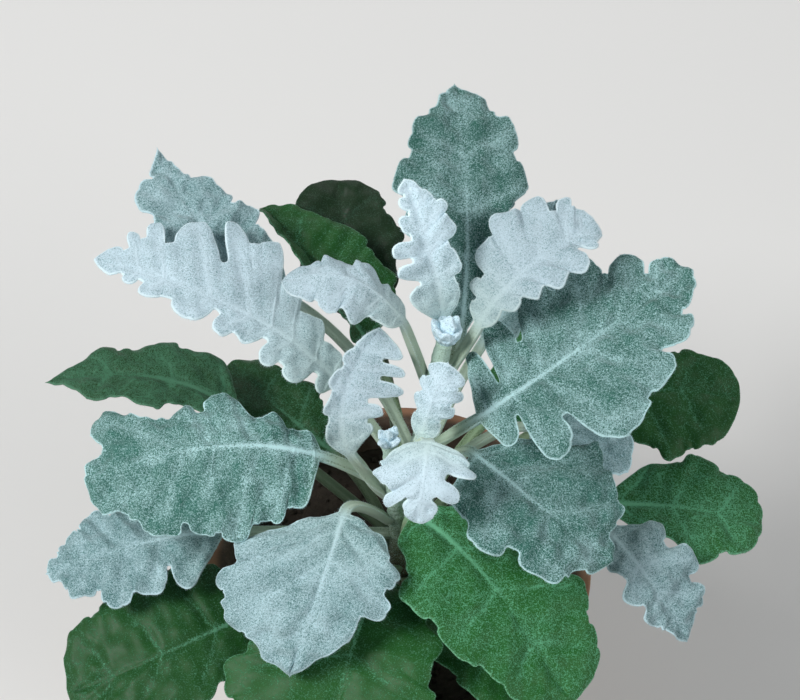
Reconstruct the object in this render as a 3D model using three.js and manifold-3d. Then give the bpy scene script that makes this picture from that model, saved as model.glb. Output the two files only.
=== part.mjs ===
// A potted dusty miller (silver ragwort): felted leaves on two short stems, in soil, in a clay pot.
// Millimetres, +Z up. The origin is the centre of the pot's underside.
// Each leaf is one thin closed solid, from the foot of its stalk to its tip. It is drawn flat first, as
// ribs that run from the midrib out to a lobed edge. The flat leaf is then bent along and across.
import * as THREE from "three";
import { mergeVertices } from "three/addons/utils/BufferGeometryUtils.js";
import Module from "manifold-3d";

const wasm = await Module();
wasm.setup();

// ---- driving dimensions ----
const POT = {
  height: 122,
  rimRadius: 68, // outside of the rim band
  rimBand: 26, // height of the band
  bandStep: 3.5, // how far the band stands out from the wall below it
  baseRadius: 44,
  wall: 5,
  floor: 7,
  chamfer: 2,
  holeRadius: 4.5,
  holeCircle: 22, // four drain holes, clear of the centre
  sides: 36,
};
const SOIL = { top: 110, relief: 1.6, gap: 0.4, sides: 30, rings: 5, level: 14, holeDepth: 24 };
// The stems' places are in the plant's frame: its origin is on the soil at the centre of the pot.
const MAIN_STEM = { foot: -22, tip: 104, lean: [15, 25], bow: 1.5, radius: [5, 2.8] };
const FRONT_SHOOT = { foot: 16, tip: 88, lean: [-3, -4], bow: 1, radius: [3.6, 2.4] };
const BUDS = {
  main: { length: 12, width: 6.6, thickness: 3.6, count: 6, spread: 34 },
  front: { length: 9, width: 4.6, thickness: 2.8, count: 4, spread: 40 },
};
// A bud's leaves are shares of its length. Their middles stand this share over the tip of the shoot.
const BUD_LEAVES = { longest: 0.95, shortest: 0.7, sink: 0.4 };
const SEAT_GAP = 0.6; // between a stalk's foot and the stem
const BLADE = 0.7; // thickness of a blade
// The ribs run out to the cuts and lean forwards like them. A cut shallower than this, in millimetres,
// has its rib nearer the usual lean. The last rib leaves the midrib at the reach, a share of the blade.
const RIBS = { lean: 0.5, shallow: 5, leastGap: 2.5, reach: 0.93 };
const BAY_SHARE = 1 / 3; // of the way from the bottom of a cut to the end of a lobe
const KEEL = { from: 0.6, until: 0.5 }; // it thins from this share of the stalk to this one of the blade
const STALK = { halfWidth: 2, depth: 3, flank: 2.4, sections: 8, bend: 0.5, flare: 3 };
const RIPPLES = { count: 2.5, shift: 0.3 }; // along a blade; the right half is shifted by a share of one

// ---- leaves ----
// stem, foot: which shoot carries the leaf, and how high.
// start, middle, tip: places on the blade's midrib, in the plant's frame.
// left, right: the edge from the base to the tip, in millimetres along the midrib and out from it: the end
// of a lobe, the bottom of the cut after it, the end of the next lobe, and so on.
// point: 1 for a round end, 2 for a straight-sided one, 3 for a drawn-out one.
// fold: how far each half is lifted, left and right, in degrees.
// curl: bend of each half, in degrees per 10 mm outwards.
// roll: turn about the midrib, at the blade's start and at the tip, in degrees.
// wave: height of the ripple along the edge.
// cut: the kind of edge. Places along one lobe, and places from the last lobe to the tip. A cut ends in a
// round bay, which takes shares of the room beside the lobe and of the lobe's height. A lobe's end is
// oval at a squareness of 1, and squarer below that.
const CUTS = {
  waved: { inLobe: [0, 0.25, 0.5, 0.75], toTip: 4, bay: { room: 0.22, height: 0.3 }, squareness: 0.8 },
  lobed: {
    inLobe: [0, 0.16, 0.33, 0.5, 0.67, 0.84],
    toTip: 5,
    bay: { room: 0.12, height: 0.12 },
    squareness: 0.78,
  },
  fingered: {
    inLobe: [0, 0.16, 0.33, 0.5, 0.67, 0.84],
    toTip: 5,
    bay: { room: 0.25, height: 0.1 },
    squareness: 0.85,
  },
};
const LEAVES = [
  // old green leaves, low on the stem, nearly whole
  { name: "leaf_green_front_left", age: "green", stem: "main", foot: 10,
    start: [-48, -29, 26], middle: [-78, -47, 28], tip: [-112, -55, 14],
    left: [[14, 17], [23, 18], [33, 21], [42, 18], [52, 18], [58, 13], [66, 9]],
    right: [[4, 24], [14, 24], [24, 28], [35, 26], [46, 28], [56, 23], [66, 22]],
    point: 1.1, fold: [4, 4], curl: [-3, -3], roll: [-8, -8], wave: 0.8, cut: "waved" },
  { name: "leaf_green_front", age: "green", stem: "main", foot: 12,
    start: [-6, -23, 38], middle: [-16, -54, 38], tip: [-27, -90, 14],
    left: [[6, 16], [15, 21], [24, 29], [35, 28], [46, 32], [56, 26], [66, 24]],
    right: [[10, 22], [20, 26], [30, 34], [40, 34], [50, 40], [59, 33], [68, 30]],
    point: 1, fold: [6, 6], curl: [-3, -3], roll: [0, 0], wave: 0.8, cut: "waved" },
  { name: "leaf_green_front_right", age: "green", stem: "front", foot: 24,
    start: [5, -8, 54], middle: [31, -35, 52], tip: [57, -68, 30],
    left: [[12, 13], [24, 14], [36, 17], [46, 20], [57, 27], [65, 21], [75, 19]],
    right: [[6, 15], [16, 19], [25, 28], [37, 25], [48, 26], [60, 20], [71, 18]],
    point: 1.2, fold: [4, 4], curl: [-3, -3], roll: [0, 0], wave: 1, cut: "waved" },
  { name: "leaf_green_under", age: "green", stem: "main", foot: 6,
    start: [11, -17, 20], middle: [28, -44, 24], tip: [42, -63, 15],
    left: [[8, 10], [17, 12], [26, 16], [34, 13], [42, 12]],
    right: [[8, 10], [17, 12], [26, 16], [34, 13], [42, 12]],
    point: 1, fold: [4, 4], curl: [-2, -2], roll: [0, 0], wave: 0.5, cut: "waved" },
  { name: "leaf_green_right_upper", age: "green", stem: "main", foot: 24,
    start: [71, 41, 50], middle: [96, 43, 55], tip: [120, 42, 51],
    left: [[9, 11], [15, 12], [20, 15], [27, 14], [34, 14]],
    right: [[9, 19], [16, 21], [24, 26], [31, 22], [39, 20]],
    point: 1, fold: [4, 4], curl: [-2, -2], roll: [18, 18], wave: 0.6, cut: "waved" },
  { name: "leaf_green_right_lower", age: "green", stem: "main", foot: 12,
    start: [71, 9, 34], middle: [101, 6, 36], tip: [127, 3, 30],
    left: [[17, 17], [25, 17], [34, 20], [41, 16], [48, 14]],
    right: [[20, 13], [28, 15], [37, 20], [43, 15], [51, 13]],
    point: 1.2, fold: [4, 4], curl: [-2, -2], roll: [10, 10], wave: 0.6, cut: "waved" },
  { name: "leaf_green_left_upper", age: "green", stem: "main", foot: 22,
    start: [-57, 38, 50], middle: [-87, 49, 55], tip: [-126, 54, 45],
    left: [[10, 10], [21, 11], [32, 14], [43, 12], [54, 12]],
    right: [[14, 18], [25, 15], [36, 15], [46, 12], [57, 11]],
    point: 2.4, fold: [6, 6], curl: [-3, -3], roll: [5, 5], wave: 0.8, cut: "waved" },
  { name: "leaf_green_left_shade", age: "green", stem: "main", foot: 12,
    start: [-24, 35, 30], middle: [-44, 52, 34], tip: [-61, 73, 32],
    left: [[8, 10], [16, 12], [24, 15], [31, 13], [38, 12]],
    right: [[8, 11], [16, 13], [24, 16], [31, 13], [38, 12]],
    point: 1.2, fold: [6, 6], curl: [-2, -2], roll: [0, 0], wave: 0.5, cut: "waved" },
  { name: "leaf_green_back_left", age: "green", stem: "main", foot: 30,
    start: [-11, 59, 62], middle: [-31, 83, 76], tip: [-49, 106, 80],
    left: [[4, 9], [9, 9], [14, 11], [23, 11], [32, 12], [41, 10], [50, 8]],
    right: [[4, 19], [10, 20], [16, 23], [27, 21], [37, 21], [45, 16], [53, 12]],
    point: 1.4, fold: [60, 6], curl: [-2, -2], roll: [0, 0], wave: 0.6, cut: "waved" },
  { name: "leaf_green_back", age: "green", stem: "main", foot: 20,
    start: [-10, 76, 52], middle: [-19, 101, 68], tip: [-22, 125, 74],
    left: [[10, 14], [19, 15], [28, 18], [37, 16], [46, 16]],
    right: [[12, 16], [22, 17], [33, 20], [40, 16], [48, 15]],
    point: 1.2, fold: [6, 6], curl: [-2, -2], roll: [0, 0], wave: 0.6, cut: "waved" },
  { name: "leaf_green_back_right", age: "green", stem: "main", foot: 18,
    start: [32, 42, 40], middle: [56, 66, 44], tip: [76, 92, 36],
    left: [[10, 14], [21, 16], [32, 21], [43, 17], [54, 16]],
    right: [[10, 14], [21, 16], [32, 21], [43, 17], [54, 16]],
    point: 1.2, fold: [6, 6], curl: [-2, -2], roll: [0, 0], wave: 0.6, cut: "waved" },

  // grown sage leaves, lobed
  { name: "leaf_sage_left", age: "sage", stem: "main", foot: 44,
    start: [-26, 2, 73], middle: [-62, 1, 79], tip: [-105, -3, 66],
    left: [[2, 20], [8, 20], [14, 26], [21, 26], [31, 32], [37, 29], [43, 30], [49, 24], [60, 26],
      [68, 19], [79, 14]],
    right: [[6, 10], [11, 9], [17, 14], [22, 12], [34, 23], [41, 16], [48, 19], [55, 16], [80, 26],
      [75, 9], [80, 6]],
    point: 1, fold: [-8, -8], curl: [-6, -8], roll: [-14, -14], wave: 1.2, cut: "waved" },
  { name: "leaf_sage_centre_right", age: "sage", stem: "main", foot: 50,
    start: [25, 1, 76], middle: [48, -21, 75], tip: [70, -32, 60],
    left: [[14, 25], [20, 23], [33, 33], [46, 27], [55, 20], [57, 12], [59, 7]],
    right: [[8, 21], [16, 21], [27, 26], [32, 19], [44, 20], [50, 14], [55, 9]],
    point: 1.4, fold: [2, 2], curl: [-4, -4], roll: [0, 0], wave: 1, cut: "waved" },
  { name: "leaf_sage_right", age: "sage", stem: "main", foot: 66,
    start: [26, 5, 90], middle: [61, 23, 106], tip: [97, 52, 112],
    left: [[7, 24], [12, 7], [20, 28], [26, 14], [41, 32], [47, 24], [64, 28], [66, 17], [78, 17],
      [77, 8], [85, 8]],
    right: [[4, 17], [11.5, 6.5], [15.5, 29], [24, 17], [37, 36], [48, 28], [58, 27], [60, 18], [71, 20],
      [74, 12], [84, 8]],
    point: 1.6, fold: [4, 4], curl: [-3, -3], roll: [0, 0], wave: 1.2, cut: "lobed" },
  { name: "leaf_sage_top", age: "sage", stem: "main", foot: 68,
    start: [21, 35, 99], middle: [23, 70, 122], tip: [19, 113, 136],
    left: [[20, 14], [27, 14], [36, 22], [43, 21], [54, 24], [62, 18], [71, 17], [78, 10], [83, 6]],
    right: [[20, 10], [26, 10], [36, 14], [42, 16], [49, 21], [58, 17], [67, 18], [74, 12], [80, 10]],
    point: 2.2, fold: [4, 4], curl: [-3, -3], roll: [0, 0], wave: 0.8, cut: "waved" },

  // silver leaves, lobed to halfway
  { name: "leaf_silver_front", age: "silver", stem: "front", foot: 42,
    start: [-18, -15, 64], middle: [-26, -43, 60], tip: [-36, -64, 40],
    left: [[8, 18], [13, 19], [20, 24], [24, 21], [30, 24], [34, 16], [42, 15]],
    right: [[20, 35], [27, 31], [40, 35], [42, 31], [51, 28], [53, 18], [58, 11]],
    point: 2, fold: [2, 2], curl: [-5, -5], roll: [0, 0], wave: 1, cut: "waved" },
  { name: "leaf_silver_low_left", age: "silver", stem: "front", foot: 30,
    start: [-60, -9, 44], middle: [-87, -15, 46], tip: [-120, -21, 36],
    left: [[14, 20], [20, 10], [27, 19], [33, 17], [40, 20], [46, 12], [53, 13], [57, 8], [61, 4]],
    right: [[14, 14], [22, 12], [30, 18], [37, 16], [45, 18], [49, 12], [54, 12], [58, 7], [60, 5]],
    point: 1.4, fold: [-6, -6], curl: [-4, -4], roll: [-6, -6], wave: 1.2, cut: "lobed" },
  { name: "leaf_silver_right_small", age: "silver", stem: "main", foot: 20,
    start: [70, -10, 47], middle: [84, -28, 44], tip: [97, -45, 31],
    left: [[10, 18], [16, 13], [27, 19], [31, 13], [38, 14], [41, 8], [45, 5]],
    right: [[14, 10], [19, 8], [27, 11], [30, 8], [37, 9], [40, 6], [44, 4]],
    point: 1.6, fold: [4, 4], curl: [-4, -4], roll: [0, 0], wave: 0.5, cut: "waved" },
  { name: "leaf_silver_left_back", age: "silver", stem: "main", foot: 60,
    start: [-37, 59, 85], middle: [-65, 78, 98], tip: [-85, 113, 104],
    left: [[22, 22], [32, 19], [44, 19], [51, 13], [63, 13], [65, 6], [71, 4]],
    right: [[20, 16], [28, 15], [38, 19], [42, 14], [53, 13], [61, 6], [70, 3]],
    point: 2.6, fold: [4, 4], curl: [-3, -3], roll: [0, 0], wave: 0.8, cut: "lobed" },
  { name: "leaf_silver_right_under", age: "silver", stem: "main", foot: 40,
    start: [45, 20, 65], middle: [63, 11, 69], tip: [77, 0, 66],
    left: [[6, 11], [12, 9], [18, 16], [24, 10], [30, 12]],
    right: [[6, 12], [12, 10], [18, 16], [24, 9], [30, 11]],
    point: 1.4, fold: [4, 4], curl: [-3, -3], roll: [0, 0], wave: 0.5, cut: "waved" },
  { name: "leaf_silver_back", age: "silver", stem: "main", foot: 48,
    start: [30, 52, 72], middle: [46, 76, 84], tip: [56, 102, 88],
    left: [[6, 10], [13, 8], [20, 15], [28, 10], [36, 15], [42, 8], [49, 9]],
    right: [[6, 10], [13, 8], [20, 15], [28, 10], [36, 15], [42, 8], [49, 9]],
    point: 1.6, fold: [4, 4], curl: [-3, -3], roll: [0, 0], wave: 0.6, cut: "waved" },

  // white young leaves, deeply cut
  { name: "leaf_white_left", age: "white", stem: "main", foot: 52,
    start: [-20, 24, 84], middle: [-53, 41, 102], tip: [-103, 61, 104],
    left: [[3, 10], [8, 4], [15, 14], [20, 10], [26, 14], [29, 5], [36, 11], [39, 10], [44, 13],
      [48, 4], [55, 12], [66, 7], [73, 10], [77, 3], [82, 6], [84, 3], [89, 4]],
    right: [[6, 10], [12, 8], [18, 14], [24, 12], [30, 20], [34, 18], [43, 32], [49, 27], [61, 33],
      [54, 15], [69, 27], [75, 14], [82, 22], [84, 14], [89, 15], [87, 8], [93, 6]],
    point: 1.6, fold: [6, 6], curl: [-4, -4], roll: [0, 0], wave: 1.2, cut: "fingered" },
  { name: "leaf_white_right", age: "white", stem: "main", foot: 88,
    start: [26, 29, 108.5], middle: [42, 42, 122], tip: [66, 58, 126],
    left: [[3, 8], [6, 6], [10, 11], [13, 9], [18, 18], [23, 17], [29, 22], [35, 20], [43, 20],
      [44, 12], [51, 14], [51, 10], [53, 7]],
    right: [[5, 6], [9, 5], [13, 9], [17, 7], [21, 12], [25, 10], [30, 14], [34, 12], [40, 14],
      [43, 5], [48, 9], [49, 7], [52, 5]],
    point: 1.4, fold: [10, 10], curl: [-3, -3], roll: [0, 0], wave: 1.4, cut: "fingered" },
  { name: "leaf_white_up", age: "white", stem: "main", foot: 92,
    start: [15, 32, 108], middle: [11, 41, 127], tip: [2, 64, 142],
    left: [[13, 12], [16, 6], [21, 13], [24, 7], [28, 13], [31, 5], [37, 7], [39, 3], [43, 5],
      [45, 2.5], [47, 4]],
    right: [[9, 7], [14, 6], [19, 9], [26, 7], [31, 11], [35, 9], [39, 10], [41, 7], [44, 6], [46, 4],
      [48, 3]],
    point: 1.6, fold: [14, 14], curl: [-6, -6], roll: [0, 0], wave: 0.8, cut: "fingered" },
  { name: "leaf_white_curled", age: "white", stem: "main", foot: 90,
    start: [2, 23, 118], middle: [-16, 30, 132], tip: [-38, 33, 126],
    left: [[4, 8], [11, 8], [17, 13], [23, 11], [30, 13], [35, 9], [41, 8]],
    right: [[5, 9], [11, 8.5], [18, 12], [24, 11], [30, 12], [35, 10], [41, 8]],
    point: 1.2, fold: [-14, -14], curl: [-14, -14], roll: [0, 0], wave: 1.2, cut: "waved" },
  { name: "leaf_white_centre", age: "white", stem: "front", foot: 56,
    start: [-16, -3, 80], middle: [-18, 8, 96], tip: [-6, 26, 111],
    left: [[8, 6], [13, 4], [17, 6], [21, 4.5], [26, 6], [30, 4], [34, 5], [37, 3.5], [40, 3]],
    right: [[10, 12], [13, 9], [20, 14], [22, 8], [31, 18], [32, 9], [38, 16], [38, 7], [43, 12]],
    point: 1.4, fold: [30, 6], curl: [-4, -4], roll: [0, 0], wave: 0.6, cut: "fingered" },
  { name: "leaf_white_rolled", age: "white", stem: "front", foot: 66,
    start: [7, -4, 91], middle: [11, 2, 104], tip: [16, 11, 112],
    left: [[5, 7], [8, 5], [12, 9], [15, 6.5], [19, 10], [21, 7], [25, 8]],
    right: [[5, 7], [8, 5], [12, 9], [15, 6.5], [19, 10], [21, 7], [25, 8]],
    point: 1.4, fold: [-14, -14], curl: [-30, -30], roll: [0, 0], wave: 0.5, cut: "waved" },
  { name: "leaf_white_front", age: "white", stem: "front", foot: 78,
    start: [9.5, -11, 99.5], middle: [8, -27, 100], tip: [6, -34, 86],
    left: [[5, 13], [8, 14], [12, 17], [14, 7], [23, 12], [22, 4], [29, 5]],
    right: [[6, 14], [10, 15], [17, 17.5], [22, 11], [30, 11], [24, 5], [29, 5]],
    point: 1.1, fold: [-2, -2], curl: [-13, -13], roll: [0, 0], wave: 0.4, cut: "fingered" },
];

// ---- helpers ----
const radians = (degrees) => (degrees * Math.PI) / 180;
const mix = (a, b, t) => a + (b - a) * t;
const clamp = (value, low, high) => Math.min(high, Math.max(low, value));
const clamp01 = (t) => clamp(t, 0, 1);
const ease = (t) => clamp01(t) ** 2 * (3 - 2 * clamp01(t));

function solidFrom(geometry) {
  const bare = geometry.clone();
  bare.deleteAttribute("normal");
  bare.deleteAttribute("uv");
  const merged = mergeVertices(bare, 1e-3);
  return new wasm.Manifold(
    new wasm.Mesh({
      numProp: 3,
      vertProperties: merged.attributes.position.array,
      triVerts: new Uint32Array(merged.index.array),
    }),
  );
}

function geometryFrom(solid) {
  const mesh = solid.getMesh();
  const geometry = new THREE.BufferGeometry();
  geometry.setAttribute("position", new THREE.BufferAttribute(new Float32Array(mesh.vertProperties), 3));
  geometry.setIndex(new THREE.BufferAttribute(new Uint32Array(mesh.triVerts), 1));
  geometry.computeVertexNormals();
  return geometry;
}

function geometryOf(points, faces) {
  const geometry = new THREE.BufferGeometry();
  const numbers = points.flatMap((point) => point.toArray());
  geometry.setAttribute("position", new THREE.Float32BufferAttribute(numbers, 3));
  geometry.setIndex(faces.flat());
  geometry.computeVertexNormals();
  return geometry;
}

// A closed tube of round rings along a line of points.
function taperedTube(points, radii, sides) {
  const curve = new THREE.CatmullRomCurve3(points);
  const rings = radii.map((radius, i) => {
    const t = i / (radii.length - 1);
    const along = curve.getTangent(t);
    const side = new THREE.Vector3(0, 1, 0).cross(along).normalize();
    const other = along.clone().cross(side);
    const centre = curve.getPoint(t);
    return Array.from({ length: sides }, (_, k) => {
      const turn = (2 * Math.PI * k) / sides;
      return centre
        .clone()
        .addScaledVector(side, radius * Math.cos(turn))
        .addScaledVector(other, radius * Math.sin(turn));
    });
  });
  const vertices = [...rings.flat(), curve.getPoint(0), curve.getPoint(1)];
  const first = vertices.length - 2;
  const last = vertices.length - 1;
  const top = (rings.length - 1) * sides;
  const faces = [];
  for (let k = 0; k < sides; k++) {
    const next = (k + 1) % sides;
    faces.push([first, next, k], [last, top + k, top + next]);
    for (let i = 0; i < rings.length - 1; i++) {
      const a = i * sides + k;
      const b = i * sides + next;
      faces.push([a, b, b + sides], [a, b + sides, a + sides]);
    }
  }
  return geometryOf(vertices, faces);
}

// ---- stems ----
// Each shoot starts upright and bows over to its lean. The front shoot leaves the main stem at its foot.
const shoot = (stem, base) => ({
  ...stem,
  at(height) {
    const from = Math.max(0, stem.foot);
    const t = Math.max(0, (height - from) / (stem.tip - from)) ** stem.bow;
    return new THREE.Vector3(mix(base[0], stem.lean[0], t), mix(base[1], stem.lean[1], t), height);
  },
});
const main = shoot(MAIN_STEM, [0, 0]);
const branching = main.at(FRONT_SHOOT.foot);
const AXES = { main, front: shoot(FRONT_SHOOT, [branching.x, branching.y]) };

function stemRadius(stem, height) {
  const t = clamp01((height - stem.foot) / (stem.tip - stem.foot));
  return mix(stem.radius[0], stem.radius[1], t);
}

function stemGeometry() {
  const rings = 8;
  const shoots = Object.values(AXES).map((stem) => {
    const heights = Array.from({ length: rings }, (_, i) => mix(stem.foot, stem.tip, i / (rings - 1)));
    const radii = heights.map((height) => stemRadius(stem, height));
    return solidFrom(taperedTube(heights.map(stem.at), radii, 10));
  });
  return geometryFrom(shoots[0].add(shoots[1]));
}

// ---- leaves ----
// The midrib is two arcs that run into each other: the stalk, then the blade.
function midribOf(leaf) {
  const stem = AXES[leaf.stem];
  const places = [leaf.start, leaf.middle, leaf.tip];
  const [start, middle, tip] = places.map((place) => new THREE.Vector3(...place));
  const axis = stem.at(leaf.foot);
  const outwards = start.clone().sub(axis).setZ(0).normalize();
  const foot = axis.addScaledVector(outwards, stemRadius(stem, leaf.foot) + SEAT_GAP);
  const bladePull = middle.clone().multiplyScalar(2);
  bladePull.addScaledVector(start, -0.5).addScaledVector(tip, -0.5);
  const onward = bladePull.clone().sub(start).normalize();
  const sideways = Math.hypot(start.x - foot.x, start.y - foot.y);
  const stalkPull = start.clone().addScaledVector(onward, -STALK.bend * sideways);
  const stalkArc = new THREE.QuadraticBezierCurve3(foot, stalkPull, start);
  const bladeArc = new THREE.QuadraticBezierCurve3(start, bladePull, tip);
  const stalk = stalkArc.getLength();
  const blade = bladeArc.getLength();
  const levelAtFoot = new THREE.Vector3(-outwards.y, outwards.x, 0);
  const levelOfBlade = new THREE.Vector3(start.y - tip.y, tip.x - start.x, 0).normalize();
  const frameAt = (x) => {
    const [arc, share] = x < stalk ? [stalkArc, x / stalk] : [bladeArc, (x - stalk) / blade];
    const along = arc.getTangentAt(clamp01(share));
    const level = levelAtFoot.clone().lerp(levelOfBlade, x < stalk ? ease(share) : 1);
    const side = level.addScaledVector(along, -level.dot(along)).normalize();
    const normal = along.clone().cross(side);
    const [first, last] = leaf.roll;
    const roll = radians(x < stalk ? first * ease(share) : mix(first, last, share));
    return {
      place: arc.getPointAt(clamp01(share)),
      side: side.clone().multiplyScalar(Math.cos(roll)).addScaledVector(normal, Math.sin(roll)),
      normal: normal.clone().multiplyScalar(Math.cos(roll)).addScaledVector(side, -Math.sin(roll)),
    };
  };
  return { stalk, blade, frameAt };
}

// From a flat place (x along the midrib, y to the left) to its place on the bent leaf.
function benderOf(leaf, midrib) {
  const widest = Math.max(...[...leaf.left, ...leaf.right].map(([, out]) => out));
  const bend = (x, y) => {
    const half = y >= 0 ? 0 : 1;
    const opened = ease((x - midrib.stalk + STALK.flare) / (4 * STALK.flare));
    const start = radians(leaf.fold[half]) * opened;
    const turn = (radians(leaf.curl[half]) * opened) / 10 || 1e-6;
    const out = Math.abs(y);
    const across = (Math.sin(start + turn * out) - Math.sin(start)) / turn;
    const arched = (Math.cos(start) - Math.cos(start + turn * out)) / turn;
    const phase = RIPPLES.count * ((x - midrib.stalk) / midrib.blade) + RIPPLES.shift * half;
    const lift = arched + leaf.wave * (out / widest) ** 2 * Math.sin(2 * Math.PI * phase);
    const { place, side, normal } = midrib.frameAt(x);
    return place.addScaledVector(side, Math.sign(y) * across).addScaledVector(normal, lift);
  };
  const step = 0.2;
  const normalAt = (x, y) => {
    const along = bend(x + step, y).sub(bend(x - step, y));
    const across = bend(x, y + step).sub(bend(x, y - step));
    return along.cross(across).normalize();
  };
  return { bend, normalAt };
}

// Where the lobes part on the midrib. A cut's line comes in from between the two lobe ends beside it,
// through its bottom, and on to the midrib.
function lobeRootsOf(leaf, blade) {
  const rootOf = (edge, i) => {
    const [x, y] = edge[i];
    const [before, after] = [edge[i - 1], edge[i + 1]];
    const ahead = (before[0] + after[0]) / 2 - x;
    const outwards = (before[1] + after[1]) / 2 - y;
    return x - (y * (ahead + RIBS.lean * RIBS.shallow)) / (outwards + RIBS.shallow);
  };
  const roots = [0];
  for (let i = 1; i < leaf.left.length; i += 2) {
    const [outLeft, outRight] = [leaf.left[i][1] ** 2, leaf.right[i][1] ** 2];
    const share = outLeft / (outLeft + outRight); // the deeper cut has the greater say
    const root = mix(rootOf(leaf.left, i), rootOf(leaf.right, i), share);
    roots.push(Math.max(root, roots.at(-1) + RIBS.leastGap));
  }
  return [...roots, blade * RIBS.reach];
}

// The flat edge of one half, by lobe and by place along the lobe. Both lobes beside a cut leave its bay
// along its line, and then curve away from each other to their ends. The first rises from the stalk.
function edgeOf(leaf, edge, roots, { stalk, blade }) {
  const lobes = roots.length - 1;
  const { bay, squareness } = CUTS[leaf.cut];
  const at = ([x, y]) => new THREE.Vector2(x, y);
  const endOf = (k) => at(edge[2 * clamp(k, 0, lobes - 1)]);
  const cutOf = (k) => {
    const foot = at(edge[2 * k - 1] ?? [0, STALK.halfWidth]);
    const outer = endOf(k - 1).add(endOf(k)).divideScalar(2);
    return { foot, outwards: outer.sub(at([roots[k], 0])).normalize() };
  };
  const quarterTurn = (share) => (Math.PI / 2) * clamp01(share);
  const riseFromStalk = (rise) => {
    const turn = quarterTurn(rise);
    return { aside: 1 - Math.cos(turn), ahead: Math.sin(turn) };
  };
  const riseFromBay = (rise) => {
    const inBay = quarterTurn(rise / BAY_SHARE);
    const onLobe = quarterTurn((rise - BAY_SHARE) / (1 - BAY_SHARE));
    return {
      aside: mix(1 - Math.cos(onLobe) ** squareness, Math.sin(inBay), bay.room),
      ahead: mix(Math.sin(onLobe) ** squareness, 1 - Math.cos(inBay), bay.height),
    };
  };
  return (k, t) => {
    const end = endOf(k);
    if (k === lobes - 1 && t > 0.5) {
      const turn = Math.PI * (t - 0.5); // a quarter turn, from the last lobe round to the tip
      const onwards = mix(end.x, blade, Math.sin(turn) ** leaf.point);
      return [stalk + onwards, end.y * Math.cos(turn) ** leaf.point];
    }
    const beforeEnd = t < 0.5;
    const { foot, outwards } = cutOf(beforeEnd ? k : k + 1);
    const rise = beforeEnd ? 2 * t : 2 - 2 * t; // from 0 in the cut to 1 at the end
    const { aside, ahead } = beforeEnd && k === 0 ? riseFromStalk(rise) : riseFromBay(rise);
    const side = end.sub(foot);
    outwards.multiplyScalar(side.dot(outwards));
    side.sub(outwards);
    foot.addScaledVector(outwards, ahead).addScaledVector(side, aside);
    return [stalk + foot.x, Math.max(STALK.halfWidth, foot.y)];
  };
}

// The flat outline as stations, from the foot to the tip: each has a rib root and its two ends.
function stationsOf(leaf, midrib) {
  const { stalk, blade } = midrib;
  const roots = lobeRootsOf(leaf, blade);
  const lobes = roots.length - 1;
  const { inLobe, toTip } = CUTS[leaf.cut];
  const places = [];
  for (let k = 0; k < lobes; k++) {
    const lastLobe = k === lobes - 1;
    places.push(...inLobe.filter((t) => !lastLobe || t <= 0.5).map((t) => [k, t]));
  }
  for (let i = 1; i <= toTip; i++) places.push([lobes - 1, 0.5 + (0.5 * i) / toTip]);
  const edgeLeft = edgeOf(leaf, leaf.left, roots, midrib);
  const edgeRight = edgeOf(leaf, leaf.right, roots, midrib);
  const ofStalk = Array.from({ length: STALK.sections }, (_, i) => {
    const x = (stalk * i) / STALK.sections;
    return { root: x, left: [x, STALK.halfWidth], right: [x, STALK.halfWidth] };
  });
  const ofBlade = places.map(([k, t]) => ({
    root: stalk + mix(roots[k], roots[k + 1], t),
    left: edgeLeft(k, t),
    right: edgeRight(k, t),
  }));
  return [...ofStalk, ...ofBlade];
}

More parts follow.
